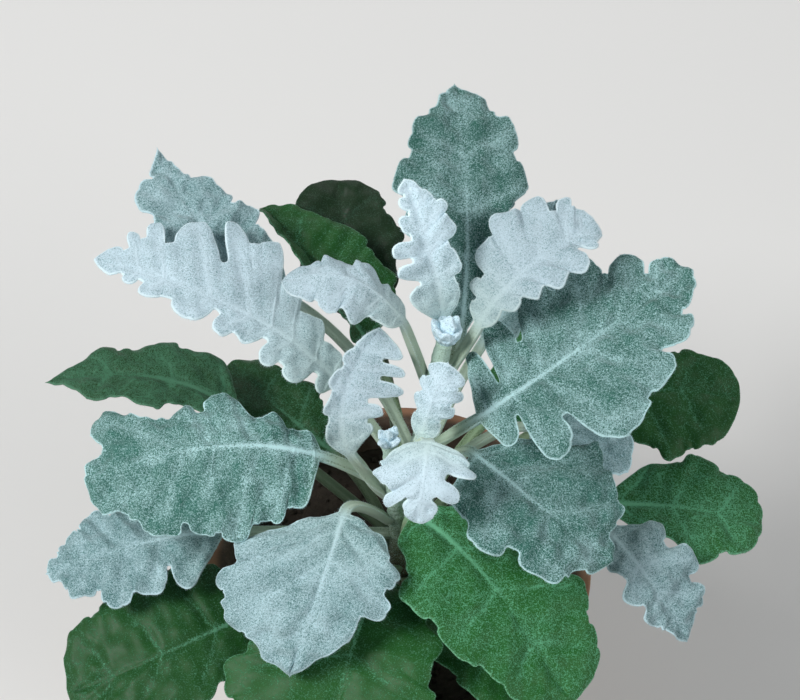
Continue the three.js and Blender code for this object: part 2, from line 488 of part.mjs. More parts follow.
function leafGeometry(leaf) {
  const midrib = midribOf(leaf);
  const { stalk, blade } = midrib;
  const { bend, normalAt } = benderOf(leaf, midrib);
  const stations = stationsOf(leaf, midrib);
  const points = [];
  const keelFrom = stalk * KEEL.from;
  const keelUntil = stalk + blade * KEEL.until;
  const keelAt = (x) => mix(STALK.depth, BLADE, ease((x - keelFrom) / (keelUntil - keelFrom)));
  // The stalk's flanks, halfway out, are nearly as thick as its middle. They thin out into the blade.
  const flankAt = (x, out) => {
    const before = 1 - ease((x - stalk + STALK.flare) / (3 * STALK.flare));
    const beside = 1 - ease((out - STALK.halfWidth / 2) / STALK.flare);
    return mix(BLADE, STALK.flank, before * beside);
  };
  const addPair = (x, y, thickness) => {
    const top = bend(x, y);
    points.push(top, top.clone().addScaledVector(normalAt(x, y), -thickness));
    return points.length - 2; // the underside is the next one
  };
  const rows = { edgeLeft: [], midLeft: [], rib: [], midRight: [], edgeRight: [] };
  const last = stations.length - 1;
  stations.forEach((station, i) => {
    const inner = i % 2 === 0;
    const sideRow = ([x, y], midRow, edgeRow) => {
      const halfway = mix(station.root, x, 0.5);
      if (inner) midRow.push(addPair(halfway, y / 2, flankAt(halfway, Math.abs(y / 2))));
      edgeRow.push(addPair(x, y, BLADE));
    };
    if (inner) rows.rib.push(addPair(station.root, 0, keelAt(station.root)));
    sideRow(station.left, rows.midLeft, rows.edgeLeft);
    if (i < last) sideRow([station.right[0], -station.right[1]], rows.midRight, rows.edgeRight);
  });
  rows.midRight.push(rows.midLeft.at(-1)); // both sides meet at the tip
  rows.edgeRight.push(rows.edgeLeft.at(-1));

  const faces = [];
  // One triangle on the upper face and its twin below. On the left half its corners run anticlockwise.
  const twin = (a, b, c, leftHalf) => {
    const [p, q, r] = leftHalf ? [a, b, c] : [a, c, b];
    faces.push([p, q, r], [p + 1, r + 1, q + 1]);
  };
  const halfBlade = (rib, mid, edge, leftHalf) => {
    for (let j = 0; j < rib.length - 1; j++) {
      const e = 2 * j;
      twin(rib[j], rib[j + 1], mid[j], leftHalf);
      twin(rib[j + 1], mid[j + 1], mid[j], leftHalf);
      twin(mid[j], edge[e + 1], edge[e], leftHalf);
      twin(mid[j], mid[j + 1], edge[e + 1], leftHalf);
      twin(mid[j + 1], edge[e + 2], edge[e + 1], leftHalf);
      for (const k of [e, e + 1]) {
        const [a, b] = leftHalf ? [edge[k], edge[k + 1]] : [edge[k + 1], edge[k]];
        faces.push([a, b, b + 1], [a, b + 1, a + 1]);
      }
    }
  };
  halfBlade(rows.rib, rows.midLeft, rows.edgeLeft, true);
  halfBlade(rows.rib, rows.midRight, rows.edgeRight, false);
  const { edgeLeft, midLeft, rib, midRight, edgeRight } = rows;
  const foot = [edgeLeft[0], midLeft[0], rib[0], midRight[0], edgeRight[0]];
  for (let k = 0; k < foot.length - 1; k++) {
    faces.push([foot[k], foot[k] + 1, foot[k + 1] + 1], [foot[k], foot[k + 1] + 1, foot[k + 1]]);
  }
  return geometryOf(points, faces);
}

// ---- buds ----
// A tight cluster of unopened leaves at the tip of a shoot: ovals sunk into each other, cut off below.
function budGeometry(stem, { length, width, thickness, count, spread }) {
  const oval = (turn, tilt, share) => {
    const shape = new THREE.SphereGeometry(1, 8, 6);
    shape.scale(width / 2, thickness / 2, (length * share) / 2);
    shape.translate(0, 0, length * share * BUD_LEAVES.sink);
    shape.rotateX(radians(tilt));
    shape.rotateZ(radians(turn));
    return solidFrom(shape);
  };
  let cluster = oval(0, 0, 1);
  for (let i = 0; i < count; i++) {
    const share = mix(BUD_LEAVES.longest, BUD_LEAVES.shortest, i / count);
    cluster = cluster.add(oval((360 * i) / count, spread, share));
  }
  const below = new THREE.BoxGeometry(length * 4, length * 4, length * 2);
  below.translate(0, 0, SEAT_GAP - length);
  const bud = geometryFrom(cluster.subtract(solidFrom(below)));
  const tip = stem.at(stem.tip);
  const upwards = tip.clone().sub(stem.at(stem.tip - 2)).normalize();
  bud.applyQuaternion(new THREE.Quaternion().setFromUnitVectors(new THREE.Vector3(0, 0, 1), upwards));
  return bud.translate(tip.x, tip.y, tip.z);
}

// ---- soil ----
const potOuterRadius = (z) => mix(POT.baseRadius, POT.rimRadius - POT.bandStep, z / POT.height);
const potInnerRadius = (z) => potOuterRadius(z) - POT.wall;

function soilGeometry() {
  const foot = POT.floor + SOIL.gap;
  const rimRadius = potInnerRadius(SOIL.top) - SOIL.gap;
  const footRadius = potInnerRadius(POT.floor) - SOIL.gap;
  const profile = [new THREE.Vector2(0, foot), new THREE.Vector2(footRadius, foot)];
  for (let i = 0; i <= SOIL.rings; i++) {
    profile.push(new THREE.Vector2(rimRadius * (1 - i / SOIL.rings), SOIL.top));
  }
  const body = new THREE.LatheGeometry(profile, SOIL.sides);
  body.rotateX(Math.PI / 2);
  const place = body.attributes.position;
  for (let i = 0; i < place.count; i++) {
    const [x, y, z] = [place.getX(i), place.getY(i), place.getZ(i)];
    const humps = Math.sin(x / 9 + 1) * Math.cos(y / 11) + Math.sin((x + y) / 6) / 2;
    const onTop = z > SOIL.top - 1 && Math.hypot(x, y) > SOIL.level; // level by the stem
    if (onTop) place.setZ(i, z + (SOIL.relief / 2) * humps);
  }
  const holeRadius = MAIN_STEM.radius[0] + SOIL.gap;
  const hole = new THREE.CylinderGeometry(holeRadius, holeRadius, SOIL.holeDepth * 2, 16);
  hole.rotateX(Math.PI / 2);
  hole.translate(0, 0, SOIL.top);
  return geometryFrom(solidFrom(body).subtract(solidFrom(hole)));
}

// ---- pot ----
function potGeometry() {
  const { height, rimRadius, rimBand, baseRadius, chamfer, floor } = POT;
  const bandFoot = height - rimBand;
  const inside = potInnerRadius(height);
  const profile = [
    [0, 0],
    [baseRadius - chamfer, 0],
    [baseRadius, chamfer],
    [potOuterRadius(bandFoot), bandFoot],
    [rimRadius - chamfer, bandFoot + 1],
    [rimRadius - chamfer / 2, bandFoot + chamfer],
    [rimRadius, height - chamfer],
    [rimRadius - chamfer, height],
    [inside + chamfer, height],
    [inside, height - chamfer],
    [potInnerRadius(floor), floor],
    [0, floor],
  ].map(([radius, z]) => new THREE.Vector2(radius, z));
  const body = new THREE.LatheGeometry(profile, POT.sides);
  body.rotateX(Math.PI / 2);
  let pot = solidFrom(body);
  for (let i = 0; i < 4; i++) {
    const turn = radians(45 + 90 * i);
    const drain = new THREE.CylinderGeometry(POT.holeRadius, POT.holeRadius, floor * 4, 14);
    drain.rotateX(Math.PI / 2);
    drain.translate(POT.holeCircle * Math.cos(turn), POT.holeCircle * Math.sin(turn), 0);
    pot = pot.subtract(solidFrom(drain));
  }
  return geometryFrom(pot);
}

// ---- materials ----
const MATERIALS = {
  green: new THREE.MeshStandardMaterial({ color: 0x4c7a54, roughness: 0.75, metalness: 0 }),
  sage: new THREE.MeshStandardMaterial({ color: 0x86a89c, roughness: 0.9, metalness: 0 }),
  silver: new THREE.MeshStandardMaterial({ color: 0xa6bfc4, roughness: 0.92, metalness: 0 }),
  white: new THREE.MeshStandardMaterial({ color: 0xdde8ec, roughness: 0.95, metalness: 0 }),
  stem: new THREE.MeshStandardMaterial({ color: 0xb4bf9f, roughness: 0.85, metalness: 0 }),
  soil: new THREE.MeshStandardMaterial({ color: 0x2b211a, roughness: 1, metalness: 0 }),
  clay: new THREE.MeshStandardMaterial({ color: 0xa5744f, roughness: 0.9, metalness: 0 }),
};

// ---- assembly ----
const plant = new THREE.Group();
plant.position.z = SOIL.top;

function addMesh(group, name, geometry, material) {
  const mesh = new THREE.Mesh(geometry, material);
  mesh.name = name;
  group.add(mesh);
}

addMesh(plant, "stem", stemGeometry(), MATERIALS.stem);
addMesh(plant, "bud_main", budGeometry(AXES.main, BUDS.main), MATERIALS.white);
addMesh(plant, "bud_front", budGeometry(AXES.front, BUDS.front), MATERIALS.white);
for (const leaf of LEAVES) addMesh(plant, leaf.name, leafGeometry(leaf), MATERIALS[leaf.age]);

const pottedPlant = new THREE.Group();
pottedPlant.add(plant);
addMesh(pottedPlant, "soil", soilGeometry(), MATERIALS.soil);
addMesh(pottedPlant, "pot", potGeometry(), MATERIALS.clay);

export default pottedPlant;
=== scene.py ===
# A potted dusty miller: felted, lobed leaves on two short shoots, in soil, in a clay pot.
# Places are millimetres from the middle of the soil's surface until inMetres turns them.
import math

import bpy
import numpy as np
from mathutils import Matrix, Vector, noise


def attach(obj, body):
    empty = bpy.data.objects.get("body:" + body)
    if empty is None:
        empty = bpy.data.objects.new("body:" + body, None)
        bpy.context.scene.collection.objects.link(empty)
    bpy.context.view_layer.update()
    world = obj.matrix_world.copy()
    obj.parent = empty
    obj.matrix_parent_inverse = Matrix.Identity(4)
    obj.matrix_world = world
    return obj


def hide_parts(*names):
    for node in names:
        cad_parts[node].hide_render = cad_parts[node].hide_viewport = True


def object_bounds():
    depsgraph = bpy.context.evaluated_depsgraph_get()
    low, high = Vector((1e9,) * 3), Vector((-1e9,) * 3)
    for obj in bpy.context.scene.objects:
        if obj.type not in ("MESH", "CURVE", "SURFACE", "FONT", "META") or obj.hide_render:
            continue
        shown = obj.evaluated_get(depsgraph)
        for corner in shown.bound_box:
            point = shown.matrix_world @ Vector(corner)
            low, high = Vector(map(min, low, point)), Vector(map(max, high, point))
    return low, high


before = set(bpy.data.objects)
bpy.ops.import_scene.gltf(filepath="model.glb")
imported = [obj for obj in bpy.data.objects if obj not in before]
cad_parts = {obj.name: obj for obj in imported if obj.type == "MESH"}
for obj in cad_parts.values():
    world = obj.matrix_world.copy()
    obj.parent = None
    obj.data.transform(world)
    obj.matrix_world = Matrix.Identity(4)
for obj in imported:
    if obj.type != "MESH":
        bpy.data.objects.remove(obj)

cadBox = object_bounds()
bpy.ops.object.select_all(action="DESELECT")
print("frame loaded:", len(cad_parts), "nodes")

# ---- small helpers for numbers ----
mm = 0.001  # in metres
soilTop = 110  # height of the soil over the floor, mm


def mix(a, b, t):
    return a + (b - a) * t


def ease(t):
    t = np.clip(t, 0, 1)
    return t * t * (3 - 2 * t)


def hump(distance, width):  # 1 at no distance, next to nothing at two widths
    return np.exp(-((distance / width) ** 2))


def unit(v):
    return v / np.maximum(np.linalg.norm(v, axis=-1, keepdims=True), 1e-9)


def dot(a, b):
    return (a * b).sum(-1, keepdims=True)


def reachAlong(line):  # how far along a line of points each of them is
    return np.concatenate([[0], np.cumsum(np.linalg.norm(np.diff(line, axis=0), axis=1))])


def placeAt(spots, reach, line):  # places between the points of a line
    return np.stack([np.interp(spots, reach, line[:, axis]) for axis in range(3)], -1)


def curveAt(t, start, pull, end):
    return (1 - t) ** 2 * start + 2 * t * (1 - t) * pull + t * t * end


def turnedBy(angle, a, b):  # two coordinates, turned in their plane
    return a * math.cos(angle) - b * math.sin(angle), a * math.sin(angle) + b * math.cos(angle)


def seedOf(text):
    return sum(ord(letter) for letter in text)


def inMetres(places):
    return (np.asarray(places) + (0, 0, soilTop)) * mm


def insideBox(places):  # in metres, and no further out than the CAD model
    return np.clip(inMetres(places), *cadBox)


# ---- small helpers for meshes ----
weldReach = 8e-6  # metres


def paint(mesh, values):  # a number on each corner, or one for them all, under each name
    for key, value in values.items():
        layer = mesh.attributes.new(key, "FLOAT", "POINT")
        value = np.broadcast_to(value, len(mesh.vertices)).astype(np.float32)
        layer.data.foreach_set("value", value)


def layGrid(name, places, masks=None):
    # places: rows by columns by xyz, in metres; doubled places are merged afterwards
    rows, columns = places.shape[:2]
    bpy.ops.mesh.primitive_grid_add(x_subdivisions=rows - 1, y_subdivisions=columns - 1, size=1)
    sheet = bpy.context.object
    sheet.name = sheet.data.name = name
    mesh = sheet.data
    start = np.empty(len(mesh.vertices) * 3)
    mesh.vertices.foreach_get("co", start)
    start = start.reshape(-1, 3) + 0.5
    i = np.rint(start[:, 0] * (rows - 1)).astype(int)
    j = np.rint(start[:, 1] * (columns - 1)).astype(int)
    mesh.vertices.foreach_set("co", places[i, j].ravel())
    paint(mesh, {key: values[i, j] for key, values in (masks or {}).items()})
    bpy.ops.object.mode_set(mode="EDIT")
    bpy.ops.mesh.select_all(action="SELECT")
    bpy.ops.mesh.remove_doubles(threshold=weldReach)
    bpy.ops.mesh.select_all(action="SELECT")
    bpy.ops.mesh.normals_make_consistent(inside=False)
    bpy.ops.object.mode_set(mode="OBJECT")
    bpy.ops.object.shade_smooth()
    sheet.select_set(False)
    return sheet


def link(made):
    bpy.context.scene.collection.objects.link(made)
    return made


def joined(pieces):  # the first piece takes in the others
    bpy.ops.object.select_all(action="DESELECT")
    for piece in pieces:
        piece.select_set(True)
    bpy.context.view_layer.objects.active = pieces[0]
    bpy.ops.object.join()
    pieces[0].select_set(False)
    return pieces[0]


def combine(piece, operation, other):  # UNION or DIFFERENCE, and the other one is used up
    step = piece.modifiers.new("combining", "BOOLEAN")
    step.operation, step.solver, step.object = operation, "EXACT", other
    bpy.context.view_layer.objects.active = piece
    bpy.ops.object.modifier_apply(modifier=step.name)
    bpy.data.objects.remove(other)


# ---- shoots ----
stems = {
    "main": {"foot": -22, "tip": 104, "lean": (15, 25), "bow": 1.5, "radius": (5, 2.8)},
    "front": {"foot": 16, "tip": 88, "lean": (-3, -4), "bow": 1, "radius": (3.6, 2.4)},
}


def shootAt(name, height):  # the middle of a shoot at this height
    stem = stems[name]
    base = np.zeros(2) if name == "main" else shootAt("main", stem["foot"])[:2]
    low = max(0, stem["foot"])
    rise = max(0, (height - low) / (stem["tip"] - low)) ** stem["bow"]
    return np.array([*mix(base, np.array(stem["lean"]), rise), height])


def shootRadius(name, height):
    stem = stems[name]
    share = (height - stem["foot"]) / (stem["tip"] - stem["foot"])
    return mix(*stem["radius"], min(1, max(0, share)))


# ---- leaves ----
# spine: where the blade starts, its middle and its tip, in mm on the plant
# edge: lobe ends and cuts in turn, mm along and across the flat blade, on its left half and
# then on its right one, or once where the halves are alike
# fold, curl: degrees at the midrib and over each curlReach, for both halves or for each
# roll: degrees about the spine; wave: mm; point: how sharp the tip is
# tone and shading, bare: how light it is beside its kind, partly its own colour and partly painted
# light and shade for the light or shadow it lies in, and how thin its felt is
# calm, evenness: its share of its kind's domes and tilts, and of its scallops
leafDefaults = {"stem": "main", "cut": "waved", "point": 1.4, "fold": 4, "curl": -3, "roll": 0,
                "wave": 0.8, "toneAndShading": 1, "bare": 0, "calm": 1, "evenness": 1}
leafTable = {
    # old leaves, low on the stem, nearly whole
    "leaf_green_front_left": {"foot": 10, "toneAndShading": 0.68, "point": 1.1, "roll": -8,
        "spine": ((-48, -29, 26), (-78, -47, 28), (-112, -55, 14)),
        "edge": ((14, 17, 4, 24), (23, 18, 14, 24), (33, 21, 24, 28), (42, 18, 35, 26),
        (52, 18, 46, 28), (58, 13, 56, 23), (66, 9, 66, 22))},
    "leaf_green_front": {"foot": 12, "toneAndShading": 0.9, "point": 1, "fold": 6,
        "spine": ((-6, -23, 38), (-16, -54, 38), (-27, -90, 14)),
        "edge": ((6, 16, 10, 22), (15, 21, 20, 26), (24, 29, 30, 34), (35, 28, 40, 34),
        (46, 32, 50, 40), (56, 26, 59, 33), (66, 24, 68, 30))},
    "leaf_green_front_right": {"foot": 24, "stem": "front", "toneAndShading": 1.12, "bare": -0.14,
        "point": 1.2, "wave": 1, "spine": ((5, -8, 54), (31, -35, 52), (57, -68, 30)),
        "edge": ((12, 13, 6, 15), (24, 14, 16, 19), (36, 17, 25, 28), (46, 20, 37, 25),
        (57, 27, 48, 26), (65, 21, 60, 20), (75, 19, 71, 18))},
    "leaf_green_under": {"foot": 6, "point": 1, "curl": -2, "wave": 0.5,
        "spine": ((11, -17, 20), (28, -44, 24), (42, -63, 15)),
        "edge": ((8, 10), (17, 12), (26, 16), (34, 13), (42, 12))},
    "leaf_green_right_upper": {"foot": 24, "toneAndShading": 0.75, "point": 1, "curl": -2, "roll": 18,
        "wave": 0.6, "spine": ((71, 41, 50), (96, 43, 55), (120, 42, 51)),
        "edge": ((9, 11, 9, 19), (15, 12, 16, 21), (20, 15, 24, 26), (27, 14, 31, 22),
        (34, 14, 39, 20))},
    "leaf_green_right_lower": {"foot": 12, "toneAndShading": 0.95, "bare": -0.22, "point": 1.2, "curl": -2,
        "roll": 10, "wave": 0.6, "spine": ((71, 9, 34), (101, 6, 36), (127, 3, 30)),
        "edge": ((17, 17, 20, 13), (25, 17, 28, 15), (34, 20, 37, 20), (41, 16, 43, 15),
        (48, 14, 51, 13))},
    "leaf_green_left_upper": {"foot": 22, "toneAndShading": 0.43, "bare": -0.33, "point": 2.4, "fold": 6,
        "roll": 5, "spine": ((-57, 38, 50), (-87, 49, 55), (-126, 54, 45)),
        "edge": ((10, 10, 14, 18), (21, 11, 25, 15), (32, 14, 36, 15), (43, 12, 46, 12),
        (54, 12, 57, 11))},
    "leaf_green_left_shade": {"foot": 12, "toneAndShading": 0.5, "bare": -0.1, "point": 1.2, "fold": 6,
        "curl": -2, "wave": 0.5, "spine": ((-24, 35, 30), (-44, 52, 34), (-61, 73, 32)),
        "edge": ((8, 10, 8, 11), (16, 12, 16, 13), (24, 15, 24, 16), (31, 13, 31, 13),
        (38, 12, 38, 12))},
    "leaf_green_back_left": {"foot": 30, "toneAndShading": 0.75, "fold": (60, 6), "curl": -2, "wave": 0.6,
        "spine": ((-11, 59, 62), (-31, 83, 76), (-49, 106, 80)),
        "edge": ((4, 9, 4, 19), (9, 9, 10, 20), (14, 11, 16, 23), (23, 11, 27, 21),
        (32, 12, 37, 21), (41, 10, 45, 16), (50, 8, 53, 12))},
    "leaf_green_back": {"foot": 20, "toneAndShading": 0.2, "point": 1.2, "fold": 6, "curl": -2, "wave": 0.6,
        "spine": ((-10, 76, 52), (-19, 101, 68), (-22, 125, 74)),
        "edge": ((10, 14, 12, 16), (19, 15, 22, 17), (28, 18, 33, 20), (37, 16, 40, 16),
        (46, 16, 48, 15))},
    "leaf_green_back_right": {"foot": 18, "point": 1.2, "fold": 6, "curl": -2, "wave": 0.6,
        "spine": ((32, 42, 40), (56, 66, 44), (76, 92, 36)),
        "edge": ((10, 14), (21, 16), (32, 21), (43, 17), (54, 16))},

    # grown leaves, lobed
    "leaf_sage_left": {"foot": 44, "toneAndShading": 1.12, "bare": 0.03, "calm": 0.35, "point": 1,
        "fold": -8, "curl": (-6, -8), "roll": -14, "wave": 1.2,
        "spine": ((-26, 2, 73), (-62, 1, 79), (-105, -3, 66)),
        "edge": ((2, 20, 6, 10), (8, 20, 11, 9), (14, 26, 17, 14), (21, 26, 22, 12),
        (31, 32, 34, 23), (37, 29, 41, 16), (43, 30, 48, 19), (49, 24, 55, 16), (60, 26, 80, 26),
        (68, 19, 75, 9), (79, 14, 80, 6))},
    "leaf_sage_centre_right": {"foot": 50, "toneAndShading": 1.02, "bare": 0.06, "fold": 2, "curl": -4,
        "wave": 1, "spine": ((25, 1, 76), (48, -21, 75), (70, -32, 60)),
        "edge": ((14, 25, 8, 21), (20, 23, 16, 21), (33, 33, 27, 26), (46, 27, 32, 19),
        (55, 20, 44, 20), (57, 12, 50, 14), (59, 7, 55, 9))},
    "leaf_sage_right": {"foot": 66, "point": 1.6, "wave": 1.2, "cut": "lobed",
        "spine": ((26, 5, 90), (61, 23, 106), (97, 52, 112)),
        "edge": ((7, 24, 4, 17), (12, 7, 11.5, 6.5), (20, 28, 15.5, 29), (26, 14, 24, 17),
        (41, 32, 37, 36), (47, 24, 48, 28), (64, 28, 58, 27), (66, 17, 60, 18), (78, 17, 71, 20),
        (77, 8, 74, 12), (85, 8, 84, 8))},
    "leaf_sage_top": {"foot": 68, "toneAndShading": 0.82, "bare": 0.03, "point": 2.2,
        "spine": ((21, 35, 99), (23, 70, 122), (19, 113, 136)),
        "edge": ((20, 14, 20, 10), (27, 14, 26, 10), (36, 22, 36, 14), (43, 21, 42, 16),
        (54, 24, 49, 21), (62, 18, 58, 17), (71, 17, 67, 18), (78, 10, 74, 12), (83, 6, 80, 10))},

    # grown leaves with a thicker felt, lobed
    "leaf_silver_front": {"foot": 42, "stem": "front", "toneAndShading": 0.92, "bare": -0.03, "point": 2,
        "fold": 2, "curl": -5, "wave": 1,
        "spine": ((-18, -15, 64), (-26, -43, 60), (-36, -64, 40)),
        "edge": ((8, 18, 20, 35), (13, 19, 27, 31), (20, 24, 40, 35), (24, 21, 42, 31),
        (30, 24, 51, 28), (34, 16, 53, 18), (42, 15, 58, 11))},
    "leaf_silver_low_left": {"foot": 30, "stem": "front", "toneAndShading": 0.9, "bare": 0.06, "fold": -6,
        "curl": -4, "roll": -6, "wave": 1.2, "cut": "lobed",
        "spine": ((-60, -9, 44), (-87, -15, 46), (-120, -21, 36)),
        "edge": ((14, 20, 14, 14), (20, 10, 22, 12), (27, 19, 30, 18), (33, 17, 37, 16),
        (40, 20, 45, 18), (46, 12, 49, 12), (53, 13, 54, 12), (57, 8, 58, 7), (61, 4, 60, 5))},
    "leaf_silver_right_small": {"foot": 20, "toneAndShading": 0.76, "point": 1.6, "curl": -4, "wave": 0.5,
        "spine": ((70, -10, 47), (84, -28, 44), (97, -45, 31)),
        "edge": ((10, 18, 14, 10), (16, 13, 19, 8), (27, 19, 27, 11), (31, 13, 30, 8),
        (38, 14, 37, 9), (41, 8, 40, 6), (45, 5, 44, 4))},
    "leaf_silver_left_back": {"foot": 60, "toneAndShading": 0.85, "bare": 0.02, "evenness": 0.35,
        "point": 2.6, "cut": "lobed", "spine": ((-37, 59, 85), (-65, 78, 98), (-85, 113, 104)),
        "edge": ((22, 22, 20, 16), (32, 19, 28, 15), (44, 19, 38, 19), (51, 13, 42, 14),
        (63, 13, 53, 13), (65, 6, 61, 6), (71, 4, 70, 3))},
    "leaf_silver_right_under": {"foot": 40, "wave": 0.5,
        "spine": ((45, 20, 65), (63, 11, 69), (77, 0, 66)),
        "edge": ((6, 11, 6, 12), (12, 9, 12, 10), (18, 16, 18, 16), (24, 10, 24, 9),
        (30, 12, 30, 11))},
    "leaf_silver_back": {"foot": 48, "point": 1.6, "wave": 0.6,
        "spine": ((30, 52, 72), (46, 76, 84), (56, 102, 88)),
        "edge": ((6, 10), (13, 8), (20, 15), (28, 10), (36, 15), (42, 8), (49, 9))},

    # young leaves, deeply cut
    "leaf_white_left": {"foot": 52, "toneAndShading": 0.92, "calm": 0.4, "evenness": 0.6, "point": 1.6,
        "fold": 6, "curl": -4, "wave": 1.2, "cut": "fingered",
        "spine": ((-20, 24, 84), (-53, 41, 102), (-103, 61, 104)),
        "edge": ((3, 10, 6, 10), (8, 4, 12, 8), (15, 14, 18, 14), (20, 10, 24, 12),
        (26, 14, 30, 20), (29, 5, 34, 18), (36, 11, 43, 32), (39, 10, 49, 27), (44, 13, 61, 33),
        (48, 4, 54, 15), (55, 12, 69, 27), (66, 7, 75, 14), (73, 10, 82, 22), (77, 3, 84, 14),
        (82, 6, 89, 15), (84, 3, 87, 8), (89, 4, 93, 6))},
    "leaf_white_right": {"foot": 88, "toneAndShading": 0.78, "calm": 0.8, "fold": 10, "wave": 1.4,
        "cut": "fingered", "spine": ((26, 29, 108.5), (42, 42, 122), (66, 58, 126)),
        "edge": ((3, 8, 5, 6), (6, 6, 9, 5), (10, 11, 13, 9), (13, 9, 17, 7), (18, 18, 21, 12),
        (23, 17, 25, 10), (29, 22, 30, 14), (35, 20, 34, 12), (43, 20, 40, 14), (44, 12, 43, 5),
        (51, 14, 48, 9), (51, 10, 49, 7), (53, 7, 52, 5))},
    "leaf_white_up": {"foot": 92, "toneAndShading": 1.02, "point": 1.6, "fold": 14, "curl": -6,
        "cut": "fingered", "spine": ((15, 32, 108), (11, 41, 127), (2, 64, 142)),
        "edge": ((13, 12, 9, 7), (16, 6, 14, 6), (21, 13, 19, 9), (24, 7, 26, 7), (28, 13, 31, 11),
        (31, 5, 35, 9), (37, 7, 39, 10), (39, 3, 41, 7), (43, 5, 44, 6), (45, 2.5, 46, 4),
        (47, 4, 48, 3))},
    "leaf_white_curled": {"foot": 90, "toneAndShading": 0.82, "evenness": 0.5, "point": 1.2, "fold": -14,
        "curl": -14, "wave": 1.2, "spine": ((2, 23, 118), (-16, 30, 132), (-38, 33, 126)),
        "edge": ((4, 8, 5, 9), (11, 8, 11, 8.5), (17, 13, 18, 12), (23, 11, 24, 11),
        (30, 13, 30, 12), (35, 9, 35, 10), (41, 8, 41, 8))},
    "leaf_white_centre": {"foot": 56, "stem": "front", "toneAndShading": 0.78, "fold": (30, 6), "curl": -4,
        "wave": 0.6, "cut": "fingered", "spine": ((-16, -3, 80), (-18, 8, 96), (-6, 26, 111)),
        "edge": ((8, 6, 10, 12), (13, 4, 13, 9), (17, 6, 20, 14), (21, 4.5, 22, 8),
        (26, 6, 31, 18), (30, 4, 32, 9), (34, 5, 38, 16), (37, 3.5, 38, 7), (40, 3, 43, 12))},
    "leaf_white_rolled": {"foot": 66, "stem": "front", "calm": 0.5, "fold": -14, "curl": -30,
        "wave": 0.5, "spine": ((7, -4, 91), (11, 2, 104), (16, 11, 112)),
        "edge": ((5, 7), (8, 5), (12, 9), (15, 6.5), (19, 10), (21, 7), (25, 8))},
    "leaf_white_front": {"foot": 78, "stem": "front", "toneAndShading": 0.96, "bare": -0.12, "evenness": 0,
        "point": 1.1, "fold": -2, "curl": -13, "wave": 0.4, "cut": "fingered",
        "spine": ((9.5, -11, 99.5), (8, -27, 100), (6, -34, 86)),
        "edge": ((5, 13, 6, 14), (8, 14, 10, 15), (12, 17, 17, 17.5), (14, 7, 22, 11),
        (23, 12, 30, 11), (22, 4, 24, 5), (29, 5, 29, 5))},
}
leaves = []
for name, given in leafTable.items():
    sides = {"left": [corner[:2] for corner in given["edge"]],
             "right": [corner[-2:] for corner in given["edge"]]}
    leaves.append({**leafDefaults, "name": name, "age": name.split("_")[1], **sides, **given})

blade = {"thickness": 0.7, "downturn": 0.3, "downturnWidth": 1.6, "curlReach": 10, "foot": -4,
         "opening": 10, "flatRim": 3, "flatRib": 4, "baseRounding": 3.5, "edgeRounding": 0.35}
ribs = {"lean": 0.5, "shallow": 5, "leastGap": 2.5, "reach": 0.93}
stalk = {"halfWidth": 2, "depth": 3, "bend": 0.5, "flare": 3, "sunk": 0.8, "groove": 0.35,
         "grooveWidth": 0.8, "rows": 14}
keel = {"onStalk": 0.4, "onBlade": 0.5, "halfWidth": 0.9, "narrowing": 0.6, "overlap": 1.02}
ripples = {"count": 2.5, "shift": 0.3}
midVein = {"width": (0.95, 0.28), "narrowing": 1.2, "valley": 2.6, "height": (0.3, 0.09)}
sideVeins = {"foot": 0.3, "width": (0.45, 0.2), "valley": 2.2, "height": 0.22, "below": 0.25,
             "wander": 0.5, "bends": 9, "fade": (0.55, 0.5)}
cuts = {  # bay: what a cut's round bottom takes of the room beside a lobe and of its height
    "waved": {"bay": (0.22, 0.3), "squareness": 0.8, "pitch": 9.5, "depth": 1.2},
    "lobed": {"bay": (0.12, 0.12), "squareness": 0.78, "pitch": 7.5, "depth": 1.3},
    "fingered": {"bay": (0.25, 0.1), "squareness": 0.85, "pitch": 7.5, "depth": 0.5},
}
scallops = {"uneven": 0.35, "mean": 0.75, "spread": 0.35, "roundness": 0.55, "calmEnds": 0.14,
            "calmTip": 0.1, "mostOfReach": 0.25}
shingle = {"crest": 0.12, "calmFoot": 4, "fadeFrom": 0.8, "fade": 6, "farOut": 0.8, "growth": 1.5}
puckerWaves = (13, 9, 6.5, 4.5)  # mm
fullTurn = 6.283
fuzz = {"radius": 0.05, "sunk": 0.12, "stray": 0.45, "shortest": 0.4, "corners": (0, 2.094, 4.189)}
arcPoints = 401
lobeRows = 30
slopeStep = 0.15  # mm
crossRows = {  # mm from the midrib and from the edge, and how many between the two
    "byRib": (0, 0.35, 0.75, 1.3, 2.0), "byEdge": (1.5, 0.7, 0.3, 0.1, 0), "between": 9,
    "roomy": 7,
}
quarter = np.radians(90)
ages = ("green", "sage", "silver", "white")
